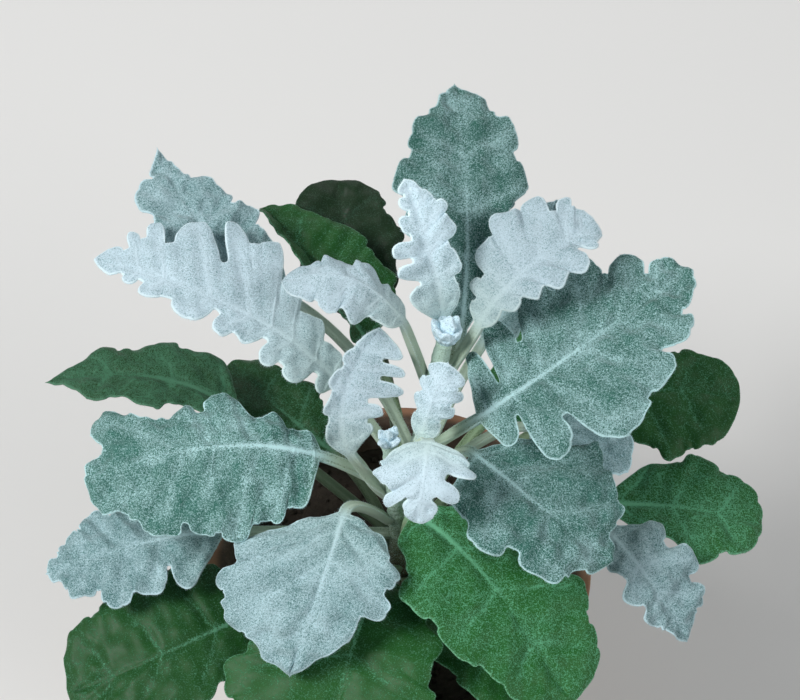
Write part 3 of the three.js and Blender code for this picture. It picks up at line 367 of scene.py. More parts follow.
kinds = {  # a value for each age
    "slot": ("green_leaf", "sage_felt", "silver_felt", "white_felt"),
    # mm: domes between the veins, puckers, tilt of each lobe over the next, hairs on the edge
    "dome": (0.9, 1.0, 1.1, 0.7), "pucker": (0.8, 1.7, 1.7, 0.7),
    "shingle": (0.1, 0.25, 0.5, 1.0), "hairEvery": (1.2, 0.5, 0.45, 0.4),
    "hairLength": (0.5, 0.8, 0.9, 1.0),
    # the felt: its colours, how much it covers and how much more on each part of a leaf
    "flesh": ((0.0085, 0.074, 0.009), (0.018, 0.09, 0.068), (0.045, 0.135, 0.13),
              (0.15, 0.27, 0.29)),
    "hairs": ((0.105, 0.37, 0.195), (0.42, 0.64, 0.65), (0.53, 0.73, 0.78), (0.66, 0.82, 0.90)),
    "cover": (0.14, 0.37, 0.52, 0.64), "veins": (0.28, 0.14, 0.12, 0.1),
    "near": (0.08, 0.1, 0.08, 0.12), "middle": (0.7, 0.6, 0.5, 0.25),
    "rim": (0.3, 0.5, 0.5, 0.45), "under": (0.35, 0.4, 0.3, 0.2), "drift": (0.2, 0.4, 0.4, 0.25),
    "softness": (0.25, 0.36, 0.47, 0.42), "net": (0.16, 0.06, 0.03, 0),
    "greenBase": (0, 0, 0.15, 0.35), "roughness": (0.5, 0.85, 0.88, 0.92),
    "shine": (0.3, 0.25, 0.25, 0.25), "sheen": (0.05, 0.12, 0.12, 0.12),
}


def kindOf(age):
    return {key: values[ages.index(age)] for key, values in kinds.items()}


# ---- leaves: the midrib and the bent blade ----
def arcThrough(start, pull, end):
    t = np.linspace(0, 1, arcPoints)[:, None]
    line = curveAt(t, start, pull, end)
    heading = unit(2 * (1 - t) * (pull - start) + 2 * t * (end - pull))
    reach = reachAlong(line)
    return {"line": line, "heading": heading, "share": reach / reach[-1], "length": reach[-1]}


def midribOf(leaf):
    start, middle, tip = np.array(leaf["spine"], float)
    axis = shootAt(leaf["stem"], leaf["foot"])
    outwards = unit((start - axis) * (1, 1, 0))
    foot = axis + outwards * (shootRadius(leaf["stem"], leaf["foot"]) - stalk["sunk"])
    pull = 2 * middle - 0.5 * start - 0.5 * tip
    sideways = np.linalg.norm((start - foot)[:2])
    stalkPull = start - stalk["bend"] * sideways * unit(pull - start)
    return {
        "stalk": arcThrough(foot, stalkPull, start),
        "blade": arcThrough(start, pull, tip),
        "levelAtFoot": np.array([-outwards[1], outwards[0], 0]),
        "levelOfBlade": unit(np.array([start[1] - tip[1], tip[0] - start[0], 0])),
    }


def frameAt(leaf, rib, x):  # x: mm along the midrib, 0 where the blade starts, less on the stalk
    onStalk = (x < 0)[..., None]
    s = np.clip(1 + x / rib["stalk"]["length"], 0, 1)
    b = np.clip(x / rib["blade"]["length"], 0, 1)

    def onRib(key):
        below, beyond = (placeAt(spots, rib[part]["share"], rib[part][key])
                         for part, spots in (("stalk", s), ("blade", b)))
        return np.where(onStalk, below, beyond)

    along = unit(onRib("heading"))
    level = mix(rib["levelAtFoot"], rib["levelOfBlade"], np.where(onStalk, ease(s)[..., None], 1))
    side = unit(level - dot(level, along) * along)
    up = np.cross(along, side)
    roll = np.radians(leaf["roll"] * np.where(x < 0, ease(s), 1))[..., None]
    side, up = side * np.cos(roll) + up * np.sin(roll), up * np.cos(roll) - side * np.sin(roll)
    return onRib("line"), side, up


def bendLeaf(leaf, rib, x, y):  # from a flat place to its place on the bent leaf
    half = (y < 0).astype(int)
    opened = ease((x + stalk["flare"]) / (4 * stalk["flare"]))
    start = np.radians(np.broadcast_to(leaf["fold"], 2))[half] * opened
    turn = np.radians(np.broadcast_to(leaf["curl"], 2))[half] * opened / blade["curlReach"]
    turn = np.where(np.abs(turn) < 1e-6, 1e-6, turn)
    out = np.abs(y)
    across = (np.sin(start + turn * out) - np.sin(start)) / turn
    arched = (np.cos(start) - np.cos(start + turn * out)) / turn
    widest = max(corner[1] for corner in leaf["left"] + leaf["right"])
    phase = ripples["count"] * x / rib["blade"]["length"] + ripples["shift"] * half
    lift = arched + leaf["wave"] * (out / widest) ** 2 * np.sin(2 * np.pi * phase)
    place, side, up = frameAt(leaf, rib, x)
    return place + side * (np.sign(y) * across)[..., None] + up * lift[..., None]


# ---- leaves: the edge, by lobe and by place along the lobe ----
def onMidrib(x):
    return np.stack([x, 0 * x], -1)


def lobeRootsOf(leaf, length):  # where the line of each cut comes down to the midrib
    roots = [0.0]
    for i in range(1, len(leaf["left"]), 2):
        found, weights = [], []
        for side in ("left", "right"):
            before, (x, y), after = leaf[side][i - 1:i + 2]
            ahead, outwards = (before[0] + after[0]) / 2 - x, (before[1] + after[1]) / 2 - y
            lean = (ahead + ribs["lean"] * ribs["shallow"]) / (outwards + ribs["shallow"])
            found.append(x - y * lean)
            weights.append(1 / y ** 2)  # the deeper cut has the greater say
        roots.append(max(np.average(found, weights=weights), roots[-1] + ribs["leastGap"]))
    return np.array(roots + [length * ribs["reach"]])


def planOf(leaf):  # what both halves of a leaf share: its midrib and the rows across it
    rib = midribOf(leaf)
    length, lobes = rib["blade"]["length"], len(leaf["left"][::2])
    roots = lobeRootsOf(leaf, length)
    k = np.append(np.repeat(np.arange(lobes), lobeRows), lobes - 1)
    t = np.append(np.tile(np.linspace(0, 1, lobeRows, endpoint=False), lobes), 1.0)
    stalkX = -rib["stalk"]["length"] * (1 - np.linspace(0, 1, stalk["rows"], endpoint=False))
    bladeX = mix(roots[k], roots[k + 1], t)
    return {"rib": rib, "length": length, "roots": roots, "lobe": k, "inLobe": t,
            "stalkX": stalkX, "bladeX": bladeX, "rootX": np.concatenate([stalkX, bladeX])}


def lobedEdge(leaf, plan, side):
    k, t, roots = plan["lobe"], plan["inLobe"], plan["roots"]
    edge = np.array(leaf[side], float)
    ends, lobes = edge[::2], len(edge[::2])
    feet = np.vstack([[0, stalk["halfWidth"]], edge[1::2], ends[-1]])
    early = t < 0.5
    beside = np.where(early, k, k + 1)  # the cut that this place is beside
    foot, end = feet[beside], ends[k]
    outer = (ends[np.maximum(0, beside - 1)] + ends[np.minimum(lobes - 1, beside)]) / 2
    outwards = unit(outer - onMidrib(roots[beside]))
    ahead = dot(end - foot, outwards) * outwards
    aside = end - foot - ahead
    cut = cuts[leaf["cut"]]
    room, height = cut["bay"]
    s = 2 * np.where(early, t, 1 - t)  # 0 in the cut, 1 at the end of the lobe
    inBay = quarter * np.clip(3 * s, 0, 1)  # the round bottom, over a third of the way
    onLobe = quarter * np.clip(1.5 * s - 0.5, 0, 1)
    shareAside = room * np.sin(inBay) + (1 - room) * (1 - np.cos(onLobe) ** cut["squareness"])
    shareAhead = height * (1 - np.cos(inBay)) + (1 - height) * np.sin(onLobe) ** cut["squareness"]
    fromStalk = early & (k == 0)  # the base of the blade rises evenly
    shareAside = np.where(fromStalk, 1 - np.cos(quarter * s), shareAside)
    shareAhead = np.where(fromStalk, np.sin(quarter * s), shareAhead)
    place = foot + ahead * shareAhead[:, None] + aside * shareAside[:, None]
    place[:, 1] = np.maximum(stalk["halfWidth"], place[:, 1])
    rounding = np.pi * np.maximum(t, 0.5)  # from the last lobe round to the tip
    tipX = mix(end[:, 0], plan["length"], np.maximum(0, -np.cos(rounding)) ** leaf["point"])
    tipY = end[:, 1] * np.maximum(0, np.sin(rounding)) ** leaf["point"]
    final = ((k == lobes - 1) & ~early)[:, None]
    return np.where(final, np.stack([tipX, tipY], -1), place)


def scalloped(leaf, plan, side, edge):  # small round lobes on the edge, drawn in along the ribs
    k, t = plan["lobe"], plan["inLobe"]
    cut = cuts[leaf["cut"]]
    seed = seedOf(leaf["name"] + side)
    reach = reachAlong(edge)
    depth = np.zeros_like(t)
    for lobe in range(k[-1] + 1):
        here = k == lobe
        first, last = reach[here][0], reach[here][-1]
        count = max(1, round((last - first) / cut["pitch"]))
        u = (reach[here] - first) / (last - first)
        u = u + scallops["uneven"] / count * np.sin(np.pi * u) * np.sin(seed + 2.3 * lobe)
        strength = scallops["mean"] + scallops["spread"] * np.sin(seed * 1.3 + 3.1 * lobe + 4 * u)
        depth[here] = strength * (1 - np.abs(np.sin(np.pi * count * u)) ** scallops["roundness"])
    inwards = onMidrib(plan["bladeX"]) - edge
    length = np.linalg.norm(inwards, axis=1)
    free = ease(np.minimum(t, 1 - t) / scallops["calmEnds"])
    free = np.where((k == k[-1]) & (t > 0.5), ease((1 - t) / scallops["calmTip"]), free)
    drawn = cut["depth"] * leaf["evenness"] * depth * free
    drawn = np.minimum(drawn, scallops["mostOfReach"] * length)
    return edge + unit(inwards) * drawn[:, None]


def softened(plan, edge):  # rounds the corner where the base of the blade turns into its side
    t, reach = plan["inLobe"], reachAlong(edge)
    weights = hump(reach[:, None] - reach, blade["baseRounding"]) * np.gradient(reach)
    average = (weights @ edge) / weights.sum(1, keepdims=True)
    share = np.where(plan["lobe"] == 0, ease(t / 0.3) * (1 - ease((t - 0.75) / 0.25)), 0)
    return mix(edge, average, share[:, None])


def edgeOf(leaf, plan, side):  # the stalk's edge and the blade's
    edge = lobedEdge(leaf, plan, side)
    edge = softened(plan, scalloped(leaf, plan, side, edge))
    return np.vstack([onMidrib(plan["stalkX"]) + (0, stalk["halfWidth"]), edge])


# ---- leaves: relief ----
def acrossRib(length):  # distances from the midrib, closer together at the rib and at the edge
    squeeze = np.minimum(1, length / crossRows["roomy"])[:, None]
    near = np.array(crossRows["byRib"]) * squeeze
    far = length[:, None] - np.array(crossRows["byEdge"]) * squeeze
    t = np.linspace(0, 1, crossRows["between"])[1:-1]
    return np.concatenate([near, mix(near[:, -1:], far[:, :1], t), far], 1)


def toLine(x, y, line):  # least distance from each place to a line of points
    first, run = line[:-1], line[1:] - line[:-1]
    offX, offY = x[..., None] - first[:, 0], y[..., None] - first[:, 1]
    share = (offX * run[:, 0] + offY * run[:, 1]) / np.maximum((run ** 2).sum(1), 1e-9)
    share = np.clip(share, 0, 1)
    return np.hypot(offX - share * run[:, 0], offY - share * run[:, 1]).min(-1)


def veinsNear(leaf, plan, side, x, y):  # side veins, each from the midrib to the end of its lobe
    vein, valley = np.zeros_like(x), np.zeros_like(x)
    feet = mix(plan["roots"][:-1], plan["roots"][1:], sideVeins["foot"])
    fadeFrom, fadeOver = sideVeins["fade"]
    for rootX, end in zip(feet, np.array(leaf[side], float)[::2]):
        run = end - (rootX, 0)
        span = np.linalg.norm(run)
        run = run / span
        forward = ((x - rootX) * run[0] + y * run[1]) / span
        aside = (x - rootX) * run[1] - y * run[0]
        fade = ease(forward * 12 + 0.5) * (1 - ease((forward - fadeFrom) / fadeOver))
        wander = sideVeins["wander"] * np.sin(forward * sideVeins["bends"] + rootX)
        aside = np.abs(aside + wander * ease(forward * 3))
        vein = np.maximum(vein, fade * hump(aside, mix(*sideVeins["width"], forward)))
        valley = np.maximum(valley, fade * hump(aside, sideVeins["valley"]))
    return vein, valley


def puckersOf(leaf, x, y):  # a quiet unevenness, different on each leaf
    seed = seedOf(leaf["name"])
    total = np.zeros_like(x)
    for i, wave in enumerate(puckerWaves):
        turn = seed * 0.7 + i * 2.1
        across = x * math.cos(turn) + y * math.sin(turn)
        total += np.sin(across * fullTurn / wave + seed + i) * wave / puckerWaves[0]
    return total / 2


def tiltsOf(plan):  # each lobe rises towards its far side, and lies a little over the next
    rootX, roots = plan["rootX"], plan["roots"]
    t = np.concatenate([0 * plan["stalkX"] + 0.5, plan["inLobe"]])
    crest = shingle["crest"]
    saw = np.where(t < crest, 1 - t / (crest / 2), mix(-1, 1, (t - crest) / (1 - crest)))
    tipFade = 1 - ease((rootX / plan["length"] - shingle["fadeFrom"]) * shingle["fade"])
    return (saw * ease(rootX / max(roots[1], shingle["calmFoot"])) * tipFade)[:, None]


def leafHalf(leaf, plan, side, sign):
    rib, length, rootX = plan["rib"], plan["length"], plan["rootX"]
    edge = edgeOf(leaf, plan, side)
    reach = np.linalg.norm(edge - onMidrib(rootX), axis=1)
    s = acrossRib(reach)
    share = s / np.maximum(reach, 1e-6)[:, None]
    x = mix(rootX[:, None], edge[:, :1], share)
    y = edge[:, 1:] * share
    toEdge = toLine(x, y, edge)
    toEdge[:, -1] = 0
    onBlade = ease((x - blade["foot"]) / blade["opening"])
    vein, valley = veinsNear(leaf, plan, side, x, y)
    middle = hump(s, mix(*midVein["width"], ease(x / length * midVein["narrowing"])))
    valley = np.maximum(valley, hump(s, midVein["valley"]) * onBlade)
    # how far the blade rises over its flat shape
    relief = kindOf(leaf["age"])
    farOut = np.maximum(reach.max() * shingle["farOut"], 1)
    notch = np.minimum(1, s / farOut) ** shingle["growth"]
    inside = ease(toEdge / blade["flatRim"])
    lift = relief["dome"] * leaf["calm"] * (0.5 - valley) * onBlade * inside
    lift += sideVeins["height"] * vein
    lift += middle * onBlade * mix(*midVein["height"], ease(x / length))
    besideRib = ease(s / blade["flatRib"])
    lift += relief["pucker"] * puckersOf(leaf, x, sign * y) * besideRib * onBlade
    lift += relief["shingle"] * leaf["calm"] * tiltsOf(plan) * notch * onBlade
    fromEdge = np.clip(toEdge / blade["downturnWidth"], 0, 1)
    lift -= blade["downturn"] * (1 - fromEdge) ** 2 * onBlade
    lift -= stalk["groove"] * hump(s, stalk["grooveWidth"]) * (1 - onBlade)
    # the underside: a round keel under the midrib that thins out along the blade
    keelFoot = keel["onStalk"] * rib["stalk"]["length"]
    thinning = ease((rootX + keelFoot) / (keelFoot + keel["onBlade"] * length))
    keelDepth = mix(stalk["depth"], blade["thickness"], thinning)[:, None]
    narrowing = ease(rootX / (keel["narrowing"] * length))
    keelWidth = mix(stalk["halfWidth"], keel["halfWidth"], narrowing)[:, None]
    onKeel = np.sqrt(np.clip(1 - (s / (keelWidth * keel["overlap"])) ** 2, 0, 1))
    thickness = mix(blade["thickness"], np.maximum(keelDepth, blade["thickness"]), onKeel)
    thickness = thickness + sideVeins["below"] * vein
    fromRim = np.clip(toEdge / blade["edgeRounding"], 0, 1)
    rounded = np.sqrt(1 - (1 - fromRim) ** 2)
    # the two skins of the bent leaf
    y = sign * y
    place = bendLeaf(leaf, rib, x, y)
    steps = [bendLeaf(leaf, rib, x + a, y + b) - bendLeaf(leaf, rib, x - a, y - b)
             for a, b in ((slopeStep, 0), (0, slopeStep))]
    up = unit(np.cross(*steps))
    half = blade["thickness"] / 2
    top = place + up * (lift - half + half * rounded)[..., None]
    under = place + up * (lift - half - (thickness - half) * rounded)[..., None]
    return {"top": top, "under": under, "rim": toEdge, "vein": vein, "along": x / length,
            "middle": middle, "near": valley}


# ---- leaves: the whole leaf ----
def addFuzz(piece, leaf, halves):  # a fringe of short hairs along the edge, each a thin spike
    kind = kindOf(leaf["age"])
    rng = np.random.default_rng(seedOf(leaf["name"]))
    roots, ways = [], []
    for half in halves:
        rim, inside = ((half["top"][:, i] + half["under"][:, i]) / 2 for i in (-1, -3))
        reach = reachAlong(rim)
        spots = np.arange(1, reach[-1], kind["hairEvery"])
        spots = spots + rng.uniform(-0.5, 0.5, len(spots)) * kind["hairEvery"]
        roots.append(placeAt(spots, reach, rim))
        ways.append(placeAt(spots, reach, rim - inside))
    root, way = np.concatenate(roots), unit(np.concatenate(ways))
    count = len(root)
    way = unit(way + rng.normal(0, fuzz["stray"], (count, 3)))
    side = unit(np.cross(way, rng.normal(0, 1, (count, 3))))
    other = np.cross(way, side)
    foot = root - fuzz["sunk"] * way
    corners = [foot + fuzz["radius"] * (side * math.cos(turn) + other * math.sin(turn))
               for turn in fuzz["corners"]]
    tall = rng.uniform(fuzz["shortest"], 1, (count, 1)) * kind["hairLength"] + fuzz["sunk"]
    places = insideBox(np.stack(corners + [foot + way * tall], 1).reshape(-1, 3))
    spike = np.array([[0, 2, 1], [0, 1, 3], [1, 2, 3], [2, 0, 3]])
    faces = (4 * np.arange(count)[:, None, None] + spike).reshape(-1, 3)
    mesh = bpy.data.meshes.new("fuzz")
    mesh.from_pydata(places.tolist(), [], faces.tolist())
    paint(mesh, {"rim": 0, "vein": 0, "middle": 0, "near": 0, "along": 0.5, "under": 0, "bare": 0,
                 "toneAndShading": leaf["toneAndShading"]})
    joined([piece, link(bpy.data.objects.new("fuzz", mesh))])


def leafPiece(leaf):
    plan = planOf(leaf)
    left, right = halves = leafHalf(leaf, plan, "left", 1), leafHalf(leaf, plan, "right", -1)

    def around(key, below=None):  # from the left edge over the top to the right, and back below
        below = below or key
        parts = [left[key][:, ::-1], right[key][:, 1:], right[below][:, -2::-1], left[below][:, 1:]]
        return np.concatenate(parts, 1)

    def fromFoot(rows):
        return np.concatenate([rows[:1], rows], 0)

    ring = fromFoot(around("top", "under"))
    ring[0] = ring[0].mean(0)  # closes the foot of the stalk
    masks = {key: fromFoot(around(key)) for key in ("rim", "vein", "along", "middle", "near")}
    # painted light and shade: each leaf's lightness, partly its own colour and partly the light or
    # shadow it lies in, on every corner
    masks["toneAndShading"] = np.full(ring.shape[:2], leaf["toneAndShading"])
    masks["bare"] = np.full(ring.shape[:2], leaf["bare"])
    masks["under"] = np.zeros(ring.shape[:2])
    masks["under"][:, 2 * left["top"].shape[1] - 1:-1] = 1
    piece = layGrid(leaf["name"] + "_felted", insideBox(ring), masks)
    addFuzz(piece, leaf, halves)
    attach(piece, "root")
    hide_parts(leaf["name"])
    return piece


leafPieces = {leaf["name"]: leafPiece(leaf) for leaf in leaves}
print("leaves laid:", len(leafPieces))

# ---- shader helpers ----
def feed(tree, node, inputs):  # each input gets a link, or a value of its own
    for key, value in inputs.items():
        if isinstance(value, bpy.types.NodeSocket):
            tree.links.new(value, node.inputs[key])
        else:
            node.inputs[key].default_value = value


def addNode(tree, kind, inputs=None, **settings):
    made = tree.nodes.new("ShaderNode" + kind)
    for key, value in settings.items():
        setattr(made, key, value)
    feed(tree, made, inputs or {})
    return made


def calc(tree, operation, *values, clamp=False):
    made = addNode(tree, "Math", dict(enumerate(values)), operation=operation, use_clamp=clamp)
    return made.outputs[0]


def vectorCalc(tree, operation, inputs, output="Vector"):
    return addNode(tree, "VectorMath", inputs, operation=operation).outputs[output]


def stepOf(tree, value, low, high, to=(0, 1)):
    inputs = {"Value": value, "From Min": low, "From Max": high, "To Min": to[0], "To Max": to[1]}
    return addNode(tree, "MapRange", inputs, interpolation_type="SMOOTHSTEP").outputs[0]


def tint(tree, share, *colours):  # from the first colour to the second
    first, second = (colour if isinstance(colour, bpy.types.NodeSocket) else (*colour, 1)
                     for colour in colours)
    return addNode(tree, "Mix", {0: share, 6: first, 7: second}, data_type="RGBA").outputs[2]


def noiseOf(tree, place, scale, detail=2, roughness=0.6, distortion=0):
    inputs = {"Vector": place, "Scale": scale, "Detail": detail, "Roughness": roughness,
              "Distortion": distortion}
    return addNode(tree, "TexNoise", inputs).outputs["Fac"]


def paintedOn(tree, key):
    return addNode(tree, "Attribute", attribute_name=key).outputs["Fac"]


def heightIn(tree, place):
    return addNode(tree, "SeparateXYZ", {"Vector": place}).outputs[2]


def newMaterial(name):
    material = bpy.data.materials.new(name)
    material.use_nodes = True
    tree = material.node_tree
    tree.nodes.clear()
    surface = tree.nodes.new("ShaderNodeBsdfPrincipled")
    output = tree.nodes.new("ShaderNodeOutputMaterial")
    tree.links.new(surface.outputs[0], output.inputs[0])
    where = tree.nodes.new("ShaderNodeTexCoord").outputs["Object"]
    place = addNode(tree, "Mapping", {"Vector": where, "Scale": (1000, 1000, 1000)}).outputs[0]
    return material, tree, surface, place  # place: in mm


def coat(tree, surface, colour, roughness, height, strength, depth):  # depth of the bump in metres
    bump = addNode(tree, "Bump", {"Strength": strength, "Distance": depth, "Height": height})
    feed(tree, surface, {"Base Color": colour, "Roughness": roughness, "Normal": bump.outputs[0]})


def feltGroup():  # short matted hairs: a mask of where they cover, and their height
    tree = bpy.data.node_groups.new("felt", "ShaderNodeTree")
    for key, way, kind in (("Place", "INPUT", "Vector"), ("Cover", "INPUT", "Float"),
                           ("Softness", "INPUT", "Float"), ("Mask", "OUTPUT", "Float"),
                           ("Height", "OUTPUT", "Float")):
        tree.interface.new_socket(key, in_out=way, socket_type="NodeSocket" + kind)
    given, result = tree.nodes.new("NodeGroupInput").outputs, tree.nodes.new("NodeGroupOutput")
    fleck = noiseOf(tree, given["Place"], 2.5, 3, 0.62, 0.8)
    spread = calc(tree, "MULTIPLY_ADD", fleck, 2.8, -0.9)
    gap = calc(tree, "SUBTRACT", 1.0, given["Cover"])
    low = calc(tree, "SUBTRACT", gap, given["Softness"])
    high = calc(tree, "ADD", gap, given["Softness"])
    mask = stepOf(tree, spread, low, high)
    feed(tree, result, {"Mask": mask, "Height": calc(tree, "MULTIPLY", mask, fleck)})
    return tree


feltTree = feltGroup()
hairDepth = 0.0003  # metres


def feltOn(tree, place, cover, softness):
    inputs = {"Place": place, "Cover": cover, "Softness": softness}
    return addNode(tree, "Group", inputs, node_tree=feltTree).outputs


# ---- the felt of the leaves ----
stalkLook = {"cover": 0.2, "flesh": (0.16, 0.24, 0.12), "hairs": (0.43, 0.50, 0.31)}
leafBaseHairs = (0.45, 0.62, 0.44)


def leafMaterial(age):
    look = kindOf(age)
    material, tree, surface, place = newMaterial(age + "Leaf")
    mask = {key: paintedOn(tree, key)
            for key in ("rim", "vein", "middle", "near", "along", "under", "toneAndShading", "bare")}
    onRim = stepOf(tree, mask["rim"], 0.1, 0.75, (1, 0))
    fade = stepOf(tree, mask["along"], 0.0, 0.75, (look["middle"], 0))
    onMiddle = calc(tree, "MULTIPLY", mask["middle"], fade, clamp=True)
    onStalk = stepOf(tree, mask["along"], -0.12, 0.06, (1, 0))
    bent = addNode(tree, "TexNoise", {"Vector": place, "Scale": 0.25, "Detail": 2}).outputs["Color"]
    bent = vectorCalc(tree, "MULTIPLY_ADD", {0: bent, 1: (3, 3, 3), 2: place})
    cells = addNode(tree, "TexVoronoi", {"Vector": bent, "Scale": 0.3}, feature="DISTANCE_TO_EDGE")
    net = stepOf(tree, cells.outputs["Distance"], 0.01, 0.09, (look["net"], 0))
    drift = noiseOf(tree, place, 0.07, 3)
    drift = calc(tree, "MULTIPLY_ADD", drift, look["drift"] * 2, -look["drift"])
    felted = look["cover"]  # how much of the leaf the hairs cover
    for value, share in ((mask["vein"], look["veins"]), (mask["bare"], -1),
                         (mask["near"], look["near"]), (onMiddle, 1), (onRim, look["rim"]),
                         (mask["under"], look["under"]), (onStalk, stalkLook["cover"]), (net, 1),
                         (drift, 1)):
        felted = calc(tree, "MULTIPLY_ADD", value, share, felted)
    felt = feltOn(tree, place, felted, look["softness"])
    # colours
    fresh = tuple(c * 1.6 for c in look["flesh"])
    pale = tuple(min(1, c * 1.1 + 0.05) for c in look["hairs"])
    flesh = tint(tree, noiseOf(tree, place, 0.22, 2), look["flesh"], fresh)
    flesh = tint(tree, onStalk, flesh, stalkLook["flesh"])
    hairs = tint(tree, calc(tree, "MAXIMUM", onRim, onMiddle), look["hairs"], pale)
    hairs = tint(tree, calc(tree, "MULTIPLY", onStalk, 0.7), hairs, stalkLook["hairs"])
    nearBase = stepOf(tree, mask["along"], 0.0, 0.5, (look["greenBase"], 0))
    hairs = tint(tree, nearBase, hairs, leafBaseHairs)
    colour = tint(tree, felt["Mask"], flesh, hairs)
    # painted light and shade: the colour is scaled by the leaf's tone, which is partly its own
    # colour and partly the light or shadow it lies in
    colour = vectorCalc(tree, "SCALE", {0: colour, "Scale": mask["toneAndShading"]})
    coat(tree, surface, colour, look["roughness"], felt["Height"], 0.6, hairDepth)
    feed(tree, surface, {"Specular IOR Level": look["shine"], "Sheen Weight": look["sheen"],
                         "Sheen Roughness": 0.5})
    return material


leafMaterials = {age: leafMaterial(age) for age in ages}
for leaf in leaves:
    leafPieces[leaf["name"]].data.materials.append(leafMaterials[leaf["age"]])
print("leaves felted")

# ---- stem ----
stemTube = {"steps": 150, "around": 32}
stemLook = {"bark": ((0.10, 0.075, 0.045), (0.20, 0.17, 0.09)), "young": (0.14, 0.24, 0.13),
            "hairs": (0.46, 0.62, 0.53)}


def tubeOf(line, radii):
    line, radii = np.array(line, float), np.array(radii, float)
    heading = unit(np.gradient(line, axis=0))
    side = unit(np.cross((0, 1, 0), heading))
    other = np.cross(heading, side)
    turn = np.linspace(0, 2 * np.pi, stemTube["around"] + 1)[None, :, None]
    ring = np.cos(turn) * side[:, None] + np.sin(turn) * other[:, None]
    places = line[:, None] + ring * radii[:, None, None]
    ends = [np.broadcast_to(line[i], (1, *places.shape[1:])) for i in (0, -1)]
    return np.concatenate([ends[0], places, ends[1]], 0)


def stemPiece():
    tubes = []
    for name, stem in stems.items():
        heights = np.linspace(stem["foot"], stem["tip"], stemTube["steps"])
        line = [shootAt(name, h) for h in heights]
        knots = [1 + 0.05 * math.sin(h * 0.9) + 0.03 * math.sin(h * 2.3 + 1) for h in heights]
        radii = [shootRadius(name, h) * knot for h, knot in zip(heights, knots)]
        tubes.append(layGrid("shoot_" + name, inMetres(tubeOf(line, radii))))
    piece, branch = tubes
    combine(piece, "UNION", branch)
    piece.name = "stem_felted"
    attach(piece, "root")
    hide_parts("stem")
    return piece


def stemMaterial():
    material, tree, surface, place = newMaterial("feltedStem")
    height = heightIn(tree, place)
    felt = feltOn(tree, place, stepOf(tree, height, 112, 190, (0.25, 0.8)), 0.25)
    bark = tint(tree, noiseOf(tree, place, 0.5, 4), *stemLook["bark"])
    flesh = tint(tree, stepOf(tree, height, 118, 160), bark, stemLook["young"])
    colour = tint(tree, felt["Mask"], flesh, stemLook["hairs"])
    coat(tree, surface, colour, 0.9, felt["Height"], 0.5, hairDepth)
    return material


stemPiece().data.materials.append(stemMaterial())
print("stem dressed")

# ---- buds ----
buds = {
    "main": {"node": "bud_main", "length": 12, "width": 7.4, "thickness": 3.0, "count": 7,
             "spread": 38},
    "front": {"node": "bud_front", "length": 9, "width": 4.6, "thickness": 2.8, "count": 4,
              "spread": 40},
}
budLobes = {"depth": 0.34, "count": 3.5, "folds": 5, "foldDepth": 0.1, "crease": 0.3,
            "creaseWidth": 0.7, "sunk": 0.1, "steps": 26, "around": 41}  # of each unopened leaf
budMasks = {"toneAndShading": 1.12, "rim": 2, "along": 0.5, "bare": -0.1}


def budLeaf(bud, turn, tilt, share):  # one unopened leaf: an oval with folds along it
    t = np.linspace(0, 1, budLobes["steps"])[:, None]
    girth = np.linspace(0, 2 * np.pi, budLobes["around"])[None, :]
    full = np.sin(np.pi * t) ** 0.6
    cut = np.abs(np.cos(budLobes["count"] * np.pi * t)) * np.abs(np.cos(girth)) ** 3
    folded = np.sin(budLobes["folds"] * girth + 2 * t + turn) * full
    folds = 1 + budLobes["foldDepth"] * folded
    x = np.cos(girth) * full * folds * (1 - budLobes["depth"] * cut) * bud["width"] / 2
    crease = budLobes["crease"] * hump(x, budLobes["creaseWidth"]) * full
    crease = crease * np.sign(np.sin(girth))
    y = np.sin(girth) * full * folds * bud["thickness"] / 2 - crease
    z = (t - budLobes["sunk"]) * bud["length"] * share + 0 * girth
    y, z = turnedBy(math.radians(tilt), y, z)
    x, y = turnedBy(math.radians(turn), x, y)
    return np.stack([x, y, z], -1)


def budPiece(shoot):
    bud, top = buds[shoot], stems[shoot]["tip"]
    tip = shootAt(shoot, top)
    heading = Vector(unit(tip - shootAt(shoot, top - 2)))
    upright = np.array(heading.to_track_quat("Z", "Y").to_matrix())
    parts = [budLeaf(bud, 0, 0, 1)]
    for i in range(bud["count"]):
        share = i / bud["count"]
        parts.append(budLeaf(bud, 360 * i / bud["count"], bud["spread"], mix(0.95, 0.7, share)))
    piece = joined([layGrid(bud["node"] + str(i), inMetres(part @ upright.T + tip))
                    for i, part in enumerate(parts)])
    piece.name = bud["node"] + "_felted"
    paint(piece.data, budMasks)
    piece.data.materials.append(leafMaterials["white"])
    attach(piece, "root")
    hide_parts(bud["node"])


for shoot in buds:
    budPiece(shoot)
print("buds laid")

# ---- pot ----
pot = {"height": 122, "rimRadius": 68, "rimBand": 26, "bandStep": 3.5, "baseRadius": 44, "wall": 5,
       "floor": 7, "holes": 4, "holeRadius": 4.5, "holeCircle": 22, "around": 128,
       "rounding": (0, 2.5, 1.2, 2, 2.2, 2.2, 3, 0)}
# the third colour is painted shade for the clay inside the pot and under the rim band
clayLook = {"fired": ((0.30, 0.145, 0.08), (0.42, 0.22, 0.13)), "paintedShade": (0.07, 0.045, 0.03),
            "bloom": (0.62, 0.52, 0.43), "specks": (0.22, 0.11, 0.07)}


def potRadius(z, inset=0):
    return mix(pot["baseRadius"], pot["rimRadius"] - pot["bandStep"], z / pot["height"]) - inset


def turned(name, profile, around):  # a profile of radius and height over the floor, turned round
    profile = np.array(profile, float)
    turn = np.linspace(0, 2 * np.pi, around + 1)
    radius, height = profile[:, :1], profile[:, 1:] + 0 * turn
    return layGrid(name, np.stack([radius * np.cos(turn), radius * np.sin(turn), height], -1) * mm)


